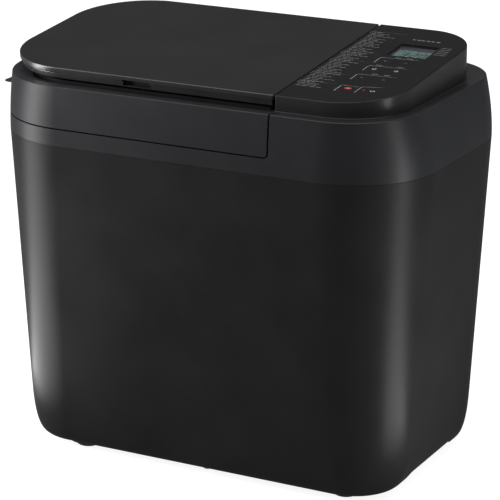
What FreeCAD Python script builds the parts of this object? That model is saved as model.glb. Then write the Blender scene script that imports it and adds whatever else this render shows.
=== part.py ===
"""Countertop bread machine, built from separate pieces.

Millimetres, +Z up, +X towards the control pod, -Y towards the front.
The origin is at the centre of the bounding box's bottom.
"""
import FreeCAD
import Part
import math
import os

V = FreeCAD.Vector

# --- Driving dimensions: case ---
CASE_LEFT = -192.0          # left face at the seam
CASE_RIGHT = 204.0          # right face at the seam
CASE_HALF_DEPTH = 126.0
CORNER_LEFT = 82.0          # plan radius of the left corners at the seam
CORNER_RIGHT = 75.0
SEAM_Z = 282.0              # lower case meets upper band at the widest ridge
RIM_Z = 332.2               # top of the band
CASE_BOTTOM_Z = 6.0
CASE_TAPER = 0.063          # inward lean per mm below the seam
ROUND_INSET = 12.0          # how far the bottom edge curls in
ROUND_HEIGHT = 44.0
ROUND_POWER = 2.6
CORNER_SHRINK = 1.4         # corner radius lost per mm of inset
RIM_INSET = 3.0             # the band leans in at front, rear and left
RIM_INSET_RIGHT = 10.0
RIM_RADIUS_LOSS = 14.0
WALL = 2.5

# --- Tilted top plane: z = TOP_Z + TOP_SLOPE * y ---
TOP_Z = 352.1
TOP_SLOPE = 0.094
TILT = math.degrees(math.atan(TOP_SLOPE))
TILT_COS = math.cos(math.radians(TILT))

# --- Split between lid and fixed band ---
GAP = 1.6                   # visible gap between lid and pod
SPLIT_X = 82.3              # lid and pod, behind the ledge
SPLIT_FRONT_X = 89.1        # lid and band, across the front face
SPLIT_FRONT_Y = -102.1
SPLIT_REAR_Y = 107.2
DECK_Z = 296.0              # top of the fixed deck under the lid
DECK_THICK = 3.0
LID_BOTTOM_Z = 297.2
RIM_FACE = 1.0              # width of the rim's flat top
LEDGE_FOOT_Z = 329.2        # the ledge slopes down from the rim to the pod's foot
LEDGE_INNER_LEFT = -177.5
LEDGE_INNER_RADIUS = 66.0
LEDGE_THICK = 3.0
LEDGE_UNDER_Z = 325.0       # underside of the lid's ledge
HOOD_TIP = (-204.0, 313.6)  # x and z of the steam hood's outer edge
HOOD_HALF = 62.0
HOOD_RISE = 3.2             # half height of the hood's wedge at its root
TAB_RADIUS = 4.0            # lower right corner of the lid's front face

# --- Pod and dispenser lid outlines ---
POD_RIGHT = 179.9
POD_RADIUS = 56.3
POD_REAR_RADIUS = 46.3
PLATE_LEFT = -188.7
PLATE_RADIUS = 65.0
PLATE_CORNER = 1.5          # small corners along the split between plate and pod
PLATE_HALF_DEPTH = 101.2
PLATE_THICK = 4.6
LINER_TOP = -5.0            # second layer of the dispenser lid, below the top plane
LINER_BOTTOM = -10.0
HOUSING_TOP = -12.2
HOUSING_LOW = (-175.5, -96.0)
HOUSING_HIGH = (78.0, 96.0)
HOUSING_RADIUS = 60.0
LIP_RISE = 1.6              # the dispenser boxes stand this much above the housing
NOTCH_X = -46.0             # finger notch centre
NOTCH_WIDTH = 27.0
NOTCH_TOP = -3.4            # top of the notch in the plate's edge
NOTCH_FLOOR = 1.3           # lip of the second layer left below the notch
PLATE_NOTCH_DEPTH = 2.2
LINER_NOTCH_DEPTH = 7.5

# --- Oven chamber and pan ---
OVEN_X = -53.0
OVEN_HALF_WIDTH = 105.0
OVEN_HALF_DEPTH = 98.0
OVEN_RADIUS = 16.0
OVEN_FLOOR_Z = 70.0
PAN_HALF_WIDTH = 72.0
PAN_HALF_DEPTH = 65.0
PAN_BOTTOM_Z = 96.0
PAN_RIM_Z = 236.0
PAN_WALL = 1.2
HANDLE_PIVOT_Z = 229.0
HANDLE_ARM = 60.0
HANDLE_X = PAN_HALF_WIDTH + 5.6
HANDLE_LEAN = 11.0          # degrees the folded handle rises towards the front

# --- Drive ---
MOTOR_X = 105.0
BELT_Z = 25.0
LARGE_GROOVE = 35.0
SMALL_GROOVE = 7.0
RUN_CLEARANCE = 0.05
SHAFT_RADIUS = 4.0
MOTOR_SHAFT_RADIUS = 3.0
COUPLING_Z = 80.0
COUPLING_LUG = 7.0
COUPLING_RADIUS = 13.0

# --- Electronics and heater ---
SHIELD_X = 61.0
BOARD_X = 74.0
HEATER_Z = 104.0
HEATER_RADIUS = 3.3
HEATER_TAIL = 14.0          # half distance between the heater's two tails
SENSOR_Z = 170.0

# --- Hinges ---
LID_AXIS_Y = 112.0
LID_AXIS_Z = 340.0
LID_BARREL = 5.0
LID_PIN = 2.0
LID_HINGES_X = (-92.0, 34.0)
HINGE_ARM_HALF = 10.0       # half width of the lid's hinge arms
HINGE_ARM_Y = 98.0
PLATE_AXIS_Y = 101.0
PLATE_AXIS_Z = 352.6
PLATE_BARREL = 1.8
PLATE_HINGES_X = (-110.0, 10.0)
PLATE_PIN = 1.0
PLATE_KNUCKLE = 7.5         # length of the housing's outer knuckles
PLATE_KNUCKLE_OUT = 16.0    # their outer ends from the hinge's centre

# --- Dispensers ---
NUT_LOW = (-112.0, -42.0)
NUT_HIGH = (-22.0, 18.0)
YEAST_CENTRE = (-2.0, 42.0)
YEAST_RADIUS = 19.0
FLAP_TOP_Z = 297.9
FLAP_THICK = 1.4
DISPENSER_BOTTOM_Z = 298.2

# --- Panel ---
KEY_SIZE = (15.6, 11.6)
KEY_COLUMNS = (131.0, 149.2)
KEY_ROWS = {"timer": 9.0, "loaf": -12.8, "menu": -36.6, "run": -66.6}
KEYS = {
    "timer_down_key": (0, "timer"),
    "timer_up_key": (1, "timer"),
    "size_key": (0, "loaf"),
    "crust_key": (1, "loaf"),
    "menu_down_key": (0, "menu"),
    "menu_up_key": (1, "menu"),
    "stop_key": (0, "run"),
    "start_key": (1, "run"),
}
FASCIA = 1.0                # thickness of the printed film
POD_ROOF = 3.5
KEY_HOLE_GAP = 0.4
LCD_LOW = (123.4, 24.6)
LCD_HIGH = (158.4, 56.2)

# --- Feet and hand-holds ---
FEET = ((140.0, -78.0), (140.0, 78.0), (-110.0, -82.0), (-110.0, 82.0))
HOLD_TOP_Z = 12.6
HOLD_FLAT = 38.0            # half length of the hand-hold's flat roof
HOLD_RUN = 16.0             # length of each S-curve beside it
BASE_SCREWS = ((-145, -70), (-145, 70), (15, -92), (15, 92), (110, -88), (110, 88))

# --- Rear of the case ---
VENT_GROUPS = ((60.0, 62.0), (-140.0, 236.0))
VENT_SLOTS = 9
VENT_PITCH = 8.0
VENT_SIZE = (3.2, 30.0)
GLAND_X = 122.0
GLAND_Z = 38.0

ABOVE_ALL = 372.0           # any height clear above the whole machine


# ---------- basic shapes ----------
def box(low, high):
    size = [b - a for a, b in zip(low, high)]
    return Part.makeBox(size[0], size[1], size[2], V(*low))


def cylinder(base, radius, height, axis=(0, 0, 1)):
    return Part.makeCylinder(radius, height, V(*base), V(*axis))


def tube(base, outer, inner, height, axis=(0, 0, 1)):
    return cylinder(base, outer, height, axis).cut(cylinder(base, inner, height, axis))


def join(shapes):
    whole = shapes[0]
    for shape in shapes[1:]:
        whole = whole.fuse(shape)
    return whole.removeSplitter()


def rounded_wire(low, high, left_radius, right_radius, z, rear_right=None):
    """Closed outline of four lines and four arcs at height z."""
    rear = rear_right or right_radius
    left = low[0] + left_radius
    corners = (
        (high[0] - right_radius, low[1] + right_radius, right_radius, -90),
        (high[0] - rear, high[1] - rear, rear, 0),
        (left, high[1] - left_radius, left_radius, 90),
        (left, low[1] + left_radius, left_radius, 180),
    )
    arcs = []
    for x, y, radius, start in corners:
        points = []
        for turn in (start, start + 45, start + 90):
            angle = math.radians(turn)
            points.append(V(x + radius * math.cos(angle), y + radius * math.sin(angle), z))
        arcs.append(Part.Arc(*points).toShape())
    edges = []
    for index, arc in enumerate(arcs):
        following = arcs[(index + 1) % len(arcs)]
        edges.append(arc)
        edges.append(Part.makeLine(arc.Vertexes[-1].Point, following.Vertexes[0].Point))
    return Part.Wire(edges)


def rounded_prism(low, high, left_radius, right_radius, z0, z1, rear_right=None):
    wire = rounded_wire(low, high, left_radius, right_radius, z0, rear_right)
    return Part.Face(wire).extrude(V(0, 0, z1 - z0))


def polygon_prism(points, z0, z1):
    corners = [V(x, y, z0) for x, y in points]
    wire = Part.makePolygon(corners + corners[:1])
    return Part.Face(wire).extrude(V(0, 0, z1 - z0))


def tilted(shape):
    """Lay a shape built around z = 0 onto the tilted top plane."""
    shape.rotate(V(0, 0, 0), V(1, 0, 0), TILT)
    shape.translate(V(0, 0, TOP_Z))
    return shape


def above_top(offset):
    """Everything above the top plane moved by offset along its normal."""
    return tilted(box((-300, -300, offset), (300, 300, offset + 120)))


def round_path(points, radii):
    """Wire through the points, with a tangent arc of the given radius at each inner point."""
    edges = []
    start = V(*points[0])
    for index in range(1, len(points) - 1):
        here = V(*points[index])
        inward = (V(*points[index - 1]) - here).normalize()
        onward = (V(*points[index + 1]) - here).normalize()
        half = inward.getAngle(onward) / 2
        radius = radii[index - 1]
        reach = radius / math.tan(half)
        entry = here + inward * reach
        leave = here + onward * reach
        middle = here + (inward + onward).normalize() * (radius / math.sin(half) - radius)
        if (entry - start).Length > 1e-6:
            edges.append(Part.makeLine(start, entry))
        edges.append(Part.Arc(entry, middle, leave).toShape())
        start = leave
    edges.append(Part.makeLine(start, V(*points[-1])))
    return Part.Wire(edges)


def pipe(points, radii, radius):
    path = round_path(points, radii)
    direction = V(*points[1]) - V(*points[0])
    ring = Part.Wire(Part.makeCircle(radius, V(*points[0]), direction))
    return path.makePipeShell([ring], True, True)


# ---------- body profile ----------
def lower_inset(z):
    inset = CASE_TAPER * (SEAM_Z - z)
    share = (CASE_BOTTOM_Z + ROUND_HEIGHT - z) / ROUND_HEIGHT
    if share > 0:
        inset += ROUND_INSET * (1 - (1 - min(share, 1) ** ROUND_POWER) ** (1 / ROUND_POWER))
    return inset


def lower_wire(z, skin=0.0):
    inset = lower_inset(z)
    left_radius = CORNER_LEFT - CORNER_SHRINK * inset - skin
    right_radius = CORNER_RIGHT - CORNER_SHRINK * inset - skin
    depth = CASE_HALF_DEPTH - inset - skin
    low = (CASE_LEFT + inset + skin, -depth)
    high = (CASE_RIGHT - inset - skin, depth)
    return rounded_wire(low, high, left_radius, right_radius, z)


def lower_loft(bottom, skin):
    """The lower case's volume from bottom up to the seam, as straight-sided stages."""
    heights = [bottom]
    for z in (7.0, 9.0, 12.0, 16.0, 21.0, 27.0, 35.0, 50.0, SEAM_Z):
        if z > bottom + 0.4:
            heights.append(z)
    return Part.makeLoft([lower_wire(z, skin) for z in heights], True, True)


def upper_wire(z, skin=0.0):
    share = ((z - SEAM_Z) / (RIM_Z - SEAM_Z)) ** 2
    depth = CASE_HALF_DEPTH - RIM_INSET * share - skin
    low = (CASE_LEFT + RIM_INSET * share + skin, -depth)
    high = (CASE_RIGHT - RIM_INSET_RIGHT * share - skin, depth)
    left_radius = CORNER_LEFT - RIM_INSET * share - skin
    right_radius = CORNER_RIGHT - RIM_RADIUS_LOSS * share - skin
    return rounded_wire(low, high, left_radius, right_radius, z)


def upper_loft(bottom, top, skin):
    stages = 5
    heights = [bottom + (top - bottom) * step / stages for step in range(stages + 1)]
    return Part.makeLoft([upper_wire(z, skin) for z in heights], True, True)


def above_ledge():
    """Space above the ledge, which slopes down inwards from the rim."""
    rim = upper_wire(RIM_Z, RIM_FACE)
    top = rim.copy()
    top.translate(V(0, 0, 15))
    low = (LEDGE_INNER_LEFT, -PLATE_HALF_DEPTH)
    high = (POD_RIGHT, PLATE_HALF_DEPTH)
    foot = rounded_wire(low, high, LEDGE_INNER_RADIUS, POD_RADIUS, LEDGE_FOOT_Z, POD_REAR_RADIUS)
    return Part.makeLoft([foot, rim, top], True, True)


def tab_corner(margin, bottom):
    """What rounding takes off the lower right corner of the lid's front face."""
    radius = TAB_RADIUS + margin
    x = SPLIT_FRONT_X - TAB_RADIUS
    corner = box((x, -140, bottom - 1), (x + radius + 1, SPLIT_FRONT_Y + 2, bottom + radius))
    return corner.cut(cylinder((x, -140, bottom + radius), radius, 60, (0, 1, 0)))


def lid_plan(margin, z0, z1):
    """The lid's share of the plan, grown by margin: the fixed parts use +GAP / 2, the lid -GAP / 2."""
    right = SPLIT_X + margin
    front_right = SPLIT_FRONT_X + margin
    step_y = SPLIT_FRONT_Y + margin
    rear = SPLIT_REAR_Y + margin
    points = ((-260, -160), (front_right, -160), (front_right, step_y),
              (right, step_y), (right, rear), (-260, rear))
    return polygon_prism(points, z0, z1)


def oven_outline(grow, z0, z1):
    low = (OVEN_X - OVEN_HALF_WIDTH - grow, -OVEN_HALF_DEPTH - grow)
    high = (OVEN_X + OVEN_HALF_WIDTH + grow, OVEN_HALF_DEPTH + grow)
    radius = OVEN_RADIUS + grow
    return rounded_prism(low, high, radius, radius, z0, z1)


def pod_outline(skin, z0, z1):
    low = (SPLIT_X + GAP / 2 + skin, -PLATE_HALF_DEPTH + skin)
    high = (POD_RIGHT - skin, PLATE_HALF_DEPTH - skin)
    rear = POD_REAR_RADIUS - skin
    return rounded_prism(low, high, PLATE_CORNER, POD_RADIUS - skin, z0, z1, rear)


def plate_outline(inset, z0, z1):
    """Outline of the dispenser lid, drawn in the tilted plane."""
    depth = PLATE_HALF_DEPTH / TILT_COS - inset
    low = (PLATE_LEFT + inset, -depth)
    high = (SPLIT_X - GAP / 2 - inset, depth)
    return rounded_prism(low, high, PLATE_RADIUS - inset, PLATE_CORNER, z0, z1)


# ---------- lower housing ----------
def hold_profile(side):
    """Arch of a hand-hold: a flat roof with an S-curve of two arcs at each end."""
    rise = HOLD_TOP_Z - CASE_BOTTOM_Z
    bend = (HOLD_RUN ** 2 + rise ** 2) / (4 * rise)
    half = math.asin(HOLD_RUN / 2 / bend) / 2
    along = bend * math.sin(half)
    drop = bend * (1 - math.cos(half))
    outer = HOLD_FLAT + HOLD_RUN
    middle = HOLD_FLAT + HOLD_RUN / 2
    low = CASE_BOTTOM_Z
    mid_z = (HOLD_TOP_Z + low) / 2
    x = 148.0 if side > 0 else -136.0
    reach = 70.0 * side

    def point(y, z):
        return V(x, y, z)

    edges = [
        Part.makeLine(point(-HOLD_FLAT, HOLD_TOP_Z), point(HOLD_FLAT, HOLD_TOP_Z)),
        Part.Arc(point(HOLD_FLAT, HOLD_TOP_Z), point(HOLD_FLAT + along, HOLD_TOP_Z - drop),
                 point(middle, mid_z)).toShape(),
        Part.Arc(point(middle, mid_z), point(outer - along, low + drop), point(outer, low)).toShape(),
        Part.makeLine(point(outer, low), point(outer, low - 8)),
        Part.makeLine(point(outer, low - 8), point(-outer, low - 8)),
        Part.makeLine(point(-outer, low - 8), point(-outer, low)),
        Part.Arc(point(-outer, low), point(-outer + along, low + drop), point(-middle, mid_z)).toShape(),
        Part.Arc(point(-middle, mid_z), point(-HOLD_FLAT - along, HOLD_TOP_Z - drop),
                 point(-HOLD_FLAT, HOLD_TOP_Z)).toShape(),
    ]
    return Part.Face(Part.Wire(edges)).extrude(V(reach, 0, 0))


def rear_vents():
    slots = []
    for start, z in VENT_GROUPS:
        for index in range(VENT_SLOTS):
            x = start + index * VENT_PITCH
            slots.append(box((x, 90, z), (x + VENT_SIZE[0], 135, z + VENT_SIZE[1])))
    return slots


def outer_case():
    case = lower_loft(CASE_BOTTOM_Z, 0.0).cut(lower_loft(CASE_BOTTOM_Z + WALL, WALL))
    opening = Part.Face(lower_wire(CASE_BOTTOM_Z, WALL)).extrude(V(0, 0, WALL + 1))
    case = case.cut(opening)
    for side in (1, -1):
        case = case.cut(hold_profile(side))
    case = case.cut(Part.makeCompound(rear_vents()))
    return case.cut(cylinder((GLAND_X, 95, GLAND_Z), 6.0, 30, (0, 1, 0)))


def base_plate():
    plate = Part.Face(lower_wire(CASE_BOTTOM_Z, WALL + 0.3)).extrude(V(0, 0, 3))
    end = HOLD_FLAT + HOLD_RUN + 5
    left_edge = CASE_LEFT + lower_inset(CASE_BOTTOM_Z) + WALL + 0.3
    right_edge = CASE_RIGHT - lower_inset(CASE_BOTTOM_Z) - WALL - 0.3
    plate = plate.fuse(box((145, -end, CASE_BOTTOM_Z), (right_edge, end, HOLD_TOP_Z + 2.5)))
    plate = plate.fuse(box((left_edge, -end, CASE_BOTTOM_Z), (-133, end, HOLD_TOP_Z + 2.5)))
    plate = plate.removeSplitter()
    for side in (1, -1):
        plate = plate.cut(hold_profile(side))
    for x, y in FEET:
        plate = plate.cut(cylinder((x, y, 0), 5.2, 20))
    for x, y in BASE_SCREWS:
        plate = plate.cut(cylinder((x, y, 0), 2.05, 20))
    for index in range(10):
        x = 70 + index * 7.0
        plate = plate.cut(box((x, -62, 0), (x + 3, -42, 20)))
    return plate


def base_screws():
    screws = []
    for x, y in BASE_SCREWS:
        screw = cylinder((x, y, 3.8), 3.6, 2.2).fuse(cylinder((x, y, 6), 2.0, 8))
        recess = box((x - 2.2, y - 0.5, 3.8), (x + 2.2, y + 0.5, 4.8))
        cross = box((x - 0.5, y - 2.2, 3.8), (x + 0.5, y + 2.2, 4.8))
        screws.append(screw.cut(recess).cut(cross))
    return Part.makeCompound(screws)


def foot(x, y):
    """Tapered rubber foot with a peg up into the base plate."""
    rim = 1.6
    top = 17.0
    bottom = 11.0
    edges = [
        Part.makeLine(V(0, 0, 0), V(bottom - rim, 0, 0)),
        Part.Arc(V(bottom - rim, 0, 0), V(bottom - 0.4, 0, 0.5), V(bottom, 0, rim)).toShape(),
        Part.makeLine(V(bottom, 0, rim), V(top, 0, 5.0)),
        Part.makeLine(V(top, 0, 5.0), V(top, 0, 6.0)),
        Part.makeLine(V(top, 0, 6.0), V(5.0, 0, 6.0)),
        Part.makeLine(V(5.0, 0, 6.0), V(5.0, 0, 11.0)),
        Part.makeLine(V(5.0, 0, 11.0), V(0, 0, 11.0)),
        Part.makeLine(V(0, 0, 11.0), V(0, 0, 0)),
    ]
    solid = Part.Face(Part.Wire(edges)).revolve(V(0, 0, 0), V(0, 0, 1), 360)
    solid.translate(V(x, y, 0))
    return solid


def feet():
    return Part.makeCompound([foot(x, y) for x, y in FEET])


def cord_gland():
    wall = CASE_HALF_DEPTH - lower_inset(GLAND_Z)
    axis = (0, 1, 0)
    body = cylinder((GLAND_X, wall - 12, GLAND_Z), 5.9, 13, axis)
    body = body.fuse(cylinder((GLAND_X, wall + 0.8, GLAND_Z), 9.0, 3, axis))
    body = body.fuse(cylinder((GLAND_X, wall - 9, GLAND_Z), 8.0, 4, axis))
    return body.cut(cylinder((GLAND_X, wall - 15, GLAND_Z), 3.4, 30, axis)).removeSplitter()


# ---------- upper band ----------
def upper_band():
    band = upper_loft(SEAM_Z, RIM_Z, 0.0)
    inner = upper_loft(SEAM_Z, RIM_Z, WALL)
    cavity = lid_plan(GAP / 2, DECK_Z, RIM_Z + 5).cut(tab_corner(GAP / 2, DECK_Z))
    under_ledge = above_ledge()
    under_ledge.translate(V(0, 0, -LEDGE_THICK))
    hollow = inner.common(box((-300, -200, SEAM_Z - 1), (300, 200, RIM_Z - LEDGE_THICK)))
    hollow = hollow.cut(under_ledge)
    hollow = hollow.cut(lid_plan(GAP / 2 + WALL, DECK_Z - DECK_THICK, RIM_Z + 5))
    band = band.cut(cavity).cut(hollow).cut(above_ledge())
    band = band.cut(oven_outline(0, DECK_Z - 10, DECK_Z + 5))
    return band.cut(pod_outline(4.5, LEDGE_FOOT_Z - 10, LEDGE_FOOT_Z + 10))


def hinge_bracket():
    """Fixed halves of both lid hinges: a plate on the rear deck with two barrels each."""
    brackets = []
    for x in LID_HINGES_X:
        front = LID_AXIS_Y - 3.2
        parts = [box((x - 21, front, LEDGE_FOOT_Z), (x + 21, LID_AXIS_Y + 7, RIM_Z - 0.6))]
        for start in (x - 21, x + 10.5):
            low = (start, front, LEDGE_FOOT_Z)
            parts.append(box(low, (start + 10.5, LID_AXIS_Y + 5, LID_AXIS_Z)))
            parts.append(cylinder((start, LID_AXIS_Y, LID_AXIS_Z), LID_BARREL, 10.5, (1, 0, 0)))
        bracket = join(parts).common(above_ledge())
        axis_start = (x - 30, LID_AXIS_Y, LID_AXIS_Z)
        brackets.append(bracket.cut(cylinder(axis_start, LID_PIN, 60, (1, 0, 0))))
    return Part.makeCompound(brackets)


def lid_hinge_pins():
    pins = []
    for x in LID_HINGES_X:
        pins.append(cylinder((x - 21, LID_AXIS_Y, LID_AXIS_Z), LID_PIN, 42, (1, 0, 0)))
    return Part.makeCompound(pins)


# ---------- oven ----------
def oven_chamber():
    shell = oven_outline(1.0, OVEN_FLOOR_Z, DECK_Z - DECK_THICK)
    shell = shell.fuse(oven_outline(5.0, DECK_Z - DECK_THICK - 1.2, DECK_Z - DECK_THICK))
    shell = shell.cut(oven_outline(0, OVEN_FLOOR_Z + 1, DECK_Z + 5))
    shell = shell.cut(cylinder((OVEN_X, 0, OVEN_FLOOR_Z - 5), 10.5, 20))
    for side in (-1, 1):
        start = (40, side * HEATER_TAIL, HEATER_Z)
        shell = shell.cut(cylinder(start, HEATER_RADIUS + 0.2, 30, (1, 0, 0)))
    return shell.cut(cylinder((OVEN_X, -110, SENSOR_Z), 3.1, 30, (0, 1, 0)))


def heater_element():
    right = OVEN_X + 90
    left = OVEN_X - 90
    depth = 83.0
    tail = HEATER_TAIL
    end = SHIELD_X + 5
    points = [(end, -tail, HEATER_Z), (right, -tail, HEATER_Z), (right, -depth, HEATER_Z),
              (left, -depth, HEATER_Z), (left, depth, HEATER_Z), (right, depth, HEATER_Z),
              (right, tail, HEATER_Z), (end, tail, HEATER_Z)]
    return pipe(points, [9, 28, 28, 28, 28, 9], HEATER_RADIUS)


def temperature_sensor():
    rod = cylinder((OVEN_X, -106, SENSOR_Z), 3.0, 16, (0, 1, 0))
    collar = cylinder((OVEN_X, -106, SENSOR_Z), 6.0, 6.9, (0, 1, 0))
    return rod.fuse(collar).removeSplitter()


def chamber_stand():
    """Plate on four legs that carries the oven and the drive bearing."""
    top = OVEN_FLOOR_Z - 0.1
    plate = box((OVEN_X - 72, -62, top - 3), (OVEN_X + 72, 62, top))
    parts = [plate]
    for x in (OVEN_X - 70, OVEN_X + 62):
        for y in (-60, 52):
            parts.append(box((x, y, 9), (x + 8, y + 8, top)))
    return join(parts).cut(cylinder((OVEN_X, 0, 50), 10.05, 30))


def drive_bearing():
    sleeve = cylinder((OVEN_X, 0, 42), 10.0, OVEN_FLOOR_Z - 42)
    flange = cylinder((OVEN_X, 0, 42), 15.0, 24.8)
    bore = cylinder((OVEN_X, 0, 40), SHAFT_RADIUS + RUN_CLEARANCE, 40)
    return sleeve.fuse(flange).removeSplitter().cut(bore)


def pan_seat():
    """Ring that holds the pan's base, on a flange fixed to the oven floor."""
    floor = OVEN_FLOOR_Z + 1
    ring = tube((OVEN_X, 0, floor), 45.0, 41.0, 14)
    flange = tube((OVEN_X, 0, floor), 54.0, 41.0, 1.5)
    return ring.fuse(flange).removeSplitter()


# ---------- drive ----------
def drive_shaft():
    return cylinder((OVEN_X, 0, 14), SHAFT_RADIUS, 62)


def large_pulley():
    disc = cylinder((OVEN_X, 0, BELT_Z - 5), LARGE_GROOVE + 3, 10)
    disc = disc.cut(tube((OVEN_X, 0, BELT_Z - 4), 60, LARGE_GROOVE, 8))
    disc = disc.fuse(cylinder((OVEN_X, 0, BELT_Z - 8), 9, 16))
    for index in range(5):
        angle = math.radians(72 * index)
        centre = (OVEN_X + 22 * math.cos(angle), 22 * math.sin(angle), BELT_Z - 10)
        disc = disc.cut(cylinder(centre, 7.5, 20))
    return disc.cut(cylinder((OVEN_X, 0, 0), SHAFT_RADIUS, 60)).removeSplitter()


def lugs(z0, z1, across):
    """Two driving lugs, side by side along X or, across, along Y."""
    pair = []
    for side in (-1, 1):
        near = min(side * 6, side * 12)
        if across:
            pair.append(box((OVEN_X - 2.5, near, z0), (OVEN_X + 2.5, near + 6, z1)))
        else:
            pair.append(box((OVEN_X + near, -2.5, z0), (OVEN_X + near + 6, 2.5, z1)))
    return pair


def drive_coupling():
    hub = cylinder((OVEN_X, 0, COUPLING_Z - 6), COUPLING_RADIUS, 6)
    hub = join([hub] + lugs(COUPLING_Z - 1, COUPLING_Z + COUPLING_LUG, False))
    return hub.cut(cylinder((OVEN_X, 0, COUPLING_Z - 10), SHAFT_RADIUS, 6.0))


def motor_housing():
    can = cylinder((MOTOR_X, 0, 40), 32.0, 62)
    can = can.fuse(cylinder((MOTOR_X, 0, 38), 12.0, 66)).removeSplitter()
    return can.cut(cylinder((MOTOR_X, 0, 30), MOTOR_SHAFT_RADIUS + RUN_CLEARANCE, 80))


def motor_bracket():
    parts = [box((MOTOR_X - 38, -38, 34), (MOTOR_X + 38, 38, 38))]
    for x in (MOTOR_X - 38, MOTOR_X + 30):
        for y in (-38, 30):
            parts.append(box((x, y, 9), (x + 8, y + 8, 38)))
    for angle in (45, 135, 225, 315):
        x = MOTOR_X + 26 * math.cos(math.radians(angle))
        y = 26 * math.sin(math.radians(angle))
        parts.append(cylinder((x, y, 38), 3, 2))
    return join(parts).cut(cylinder((MOTOR_X, 0, 30), 14, 20))


def motor_shaft():
    return cylinder((MOTOR_X, 0, 14), MOTOR_SHAFT_RADIUS, 96)


def motor_pulley():
    wheel = cylinder((MOTOR_X, 0, BELT_Z - 6), SMALL_GROOVE + 3, 12)
    wheel = wheel.cut(tube((MOTOR_X, 0, BELT_Z - 4), 30, SMALL_GROOVE, 8))
    return wheel.cut(cylinder((MOTOR_X, 0, 0), MOTOR_SHAFT_RADIUS, 60))


def belt_loop(grow, z0, z1):
    large = LARGE_GROOVE + grow
    small = SMALL_GROOVE + grow
    lean = math.acos((large - small) / (MOTOR_X - OVEN_X))
    big_x = OVEN_X + large * math.cos(lean)
    big_y = large * math.sin(lean)
    small_x = MOTOR_X + small * math.cos(lean)
    small_y = small * math.sin(lean)
    edges = [
        Part.Arc(V(big_x, big_y, z0), V(OVEN_X - large, 0, z0), V(big_x, -big_y, z0)).toShape(),
        Part.makeLine(V(big_x, -big_y, z0), V(small_x, -small_y, z0)),
        Part.Arc(V(small_x, -small_y, z0), V(MOTOR_X + small, 0, z0), V(small_x, small_y, z0)).toShape(),
        Part.makeLine(V(small_x, small_y, z0), V(big_x, big_y, z0)),
    ]
    return Part.Face(Part.Wire(edges)).extrude(V(0, 0, z1 - z0))


def drive_belt():
    low = BELT_Z - 3
    high = BELT_Z + 3
    return belt_loop(2.6, low, high).cut(belt_loop(0.35, low, high))


# ---------- electronics ----------
def heat_shield():
    sheet = box((SHIELD_X, -100, 9), (SHIELD_X + 1, 100, 280))
    sheet = sheet.cut(box((SHIELD_X - 5, -50, 14), (SHIELD_X + 5, 50, 36)))
    for side in (-1, 1):
        sheet = sheet.cut(cylinder((SHIELD_X - 5, side * HEATER_TAIL, HEATER_Z), 4.5, 10, (1, 0, 0)))
    return sheet


def power_board():
    board = box((BOARD_X, -60, 130), (BOARD_X + 1.6, 60, 250))
    top = BOARD_X + 1.6
    parts = [board]
    parts.append(box((top, -45, 140), (top + 30, -10, 180)))
    parts.append(box((top, 5, 145), (top + 16, 33, 165)))
    parts.append(box((top, 5, 175), (top + 16, 33, 195)))
    parts.append(cylinder((top, -25, 210), 9, 26, (1, 0, 0)))
    parts.append(cylinder((top, 20, 220), 7, 20, (1, 0, 0)))
    for y in (-54, 54):
        for z in (136, 244):
            parts.append(cylinder((SHIELD_X + 1, y, z), 3, BOARD_X - SHIELD_X - 1, (1, 0, 0)))
    return join(parts)


# ---------- pan ----------
def pan_body(skin, bottom, top):
    draft = 6.0
    wires = []
    for z, lean in ((bottom, draft), (top, 0.0)):
        width = PAN_HALF_WIDTH - lean - skin
        depth = PAN_HALF_DEPTH - lean - skin
        low = (OVEN_X - width, -depth)
        high = (OVEN_X + width, depth)
        wires.append(rounded_wire(low, high, 22 - skin, 22 - skin, z))
    return Part.makeLoft(wires, True, True)


def bread_pan():
    pan = pan_body(0, PAN_BOTTOM_Z, PAN_RIM_Z)
    low = (OVEN_X - PAN_HALF_WIDTH - 3, -PAN_HALF_DEPTH - 3)
    high = (OVEN_X + PAN_HALF_WIDTH + 3, PAN_HALF_DEPTH + 3)
    pan = pan.fuse(rounded_prism(low, high, 25, 25, PAN_RIM_Z - 2, PAN_RIM_Z))
    pan = pan.cut(pan_body(PAN_WALL, PAN_BOTTOM_Z + PAN_WALL, PAN_RIM_Z))
    return pan.cut(cylinder((OVEN_X, 0, 80), 9.05, 40))


def pan_base_ring():
    bottom = OVEN_FLOOR_Z + 2
    ring = tube((OVEN_X, 0, bottom), 40.2, 37.0, PAN_BOTTOM_Z - bottom)
    return ring


def pan_bearing():
    sleeve = cylinder((OVEN_X, 0, 93.6), 9.0, 16.4)
    sleeve = sleeve.fuse(cylinder((OVEN_X, 0, 93.6), 13.0, PAN_BOTTOM_Z - 93.6)).removeSplitter()
    return sleeve.cut(cylinder((OVEN_X, 0, 80), SHAFT_RADIUS + RUN_CLEARANCE, 50))


def handle_pivots():
    studs = []
    for side in (-1, 1):
        start = OVEN_X + side * (PAN_HALF_WIDTH - 0.3)
        axis = (side, 0, 0)
        stud = cylinder((start, 0, HANDLE_PIVOT_Z), 2.2, 9.5, axis)
        shoulder = cylinder((start, 0, HANDLE_PIVOT_Z), 5.0, 3.2, axis)
        studs.append(stud.fuse(shoulder).removeSplitter().cut(pan_body(0, PAN_BOTTOM_Z, PAN_RIM_Z)))
    return Part.makeCompound(studs)


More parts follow.
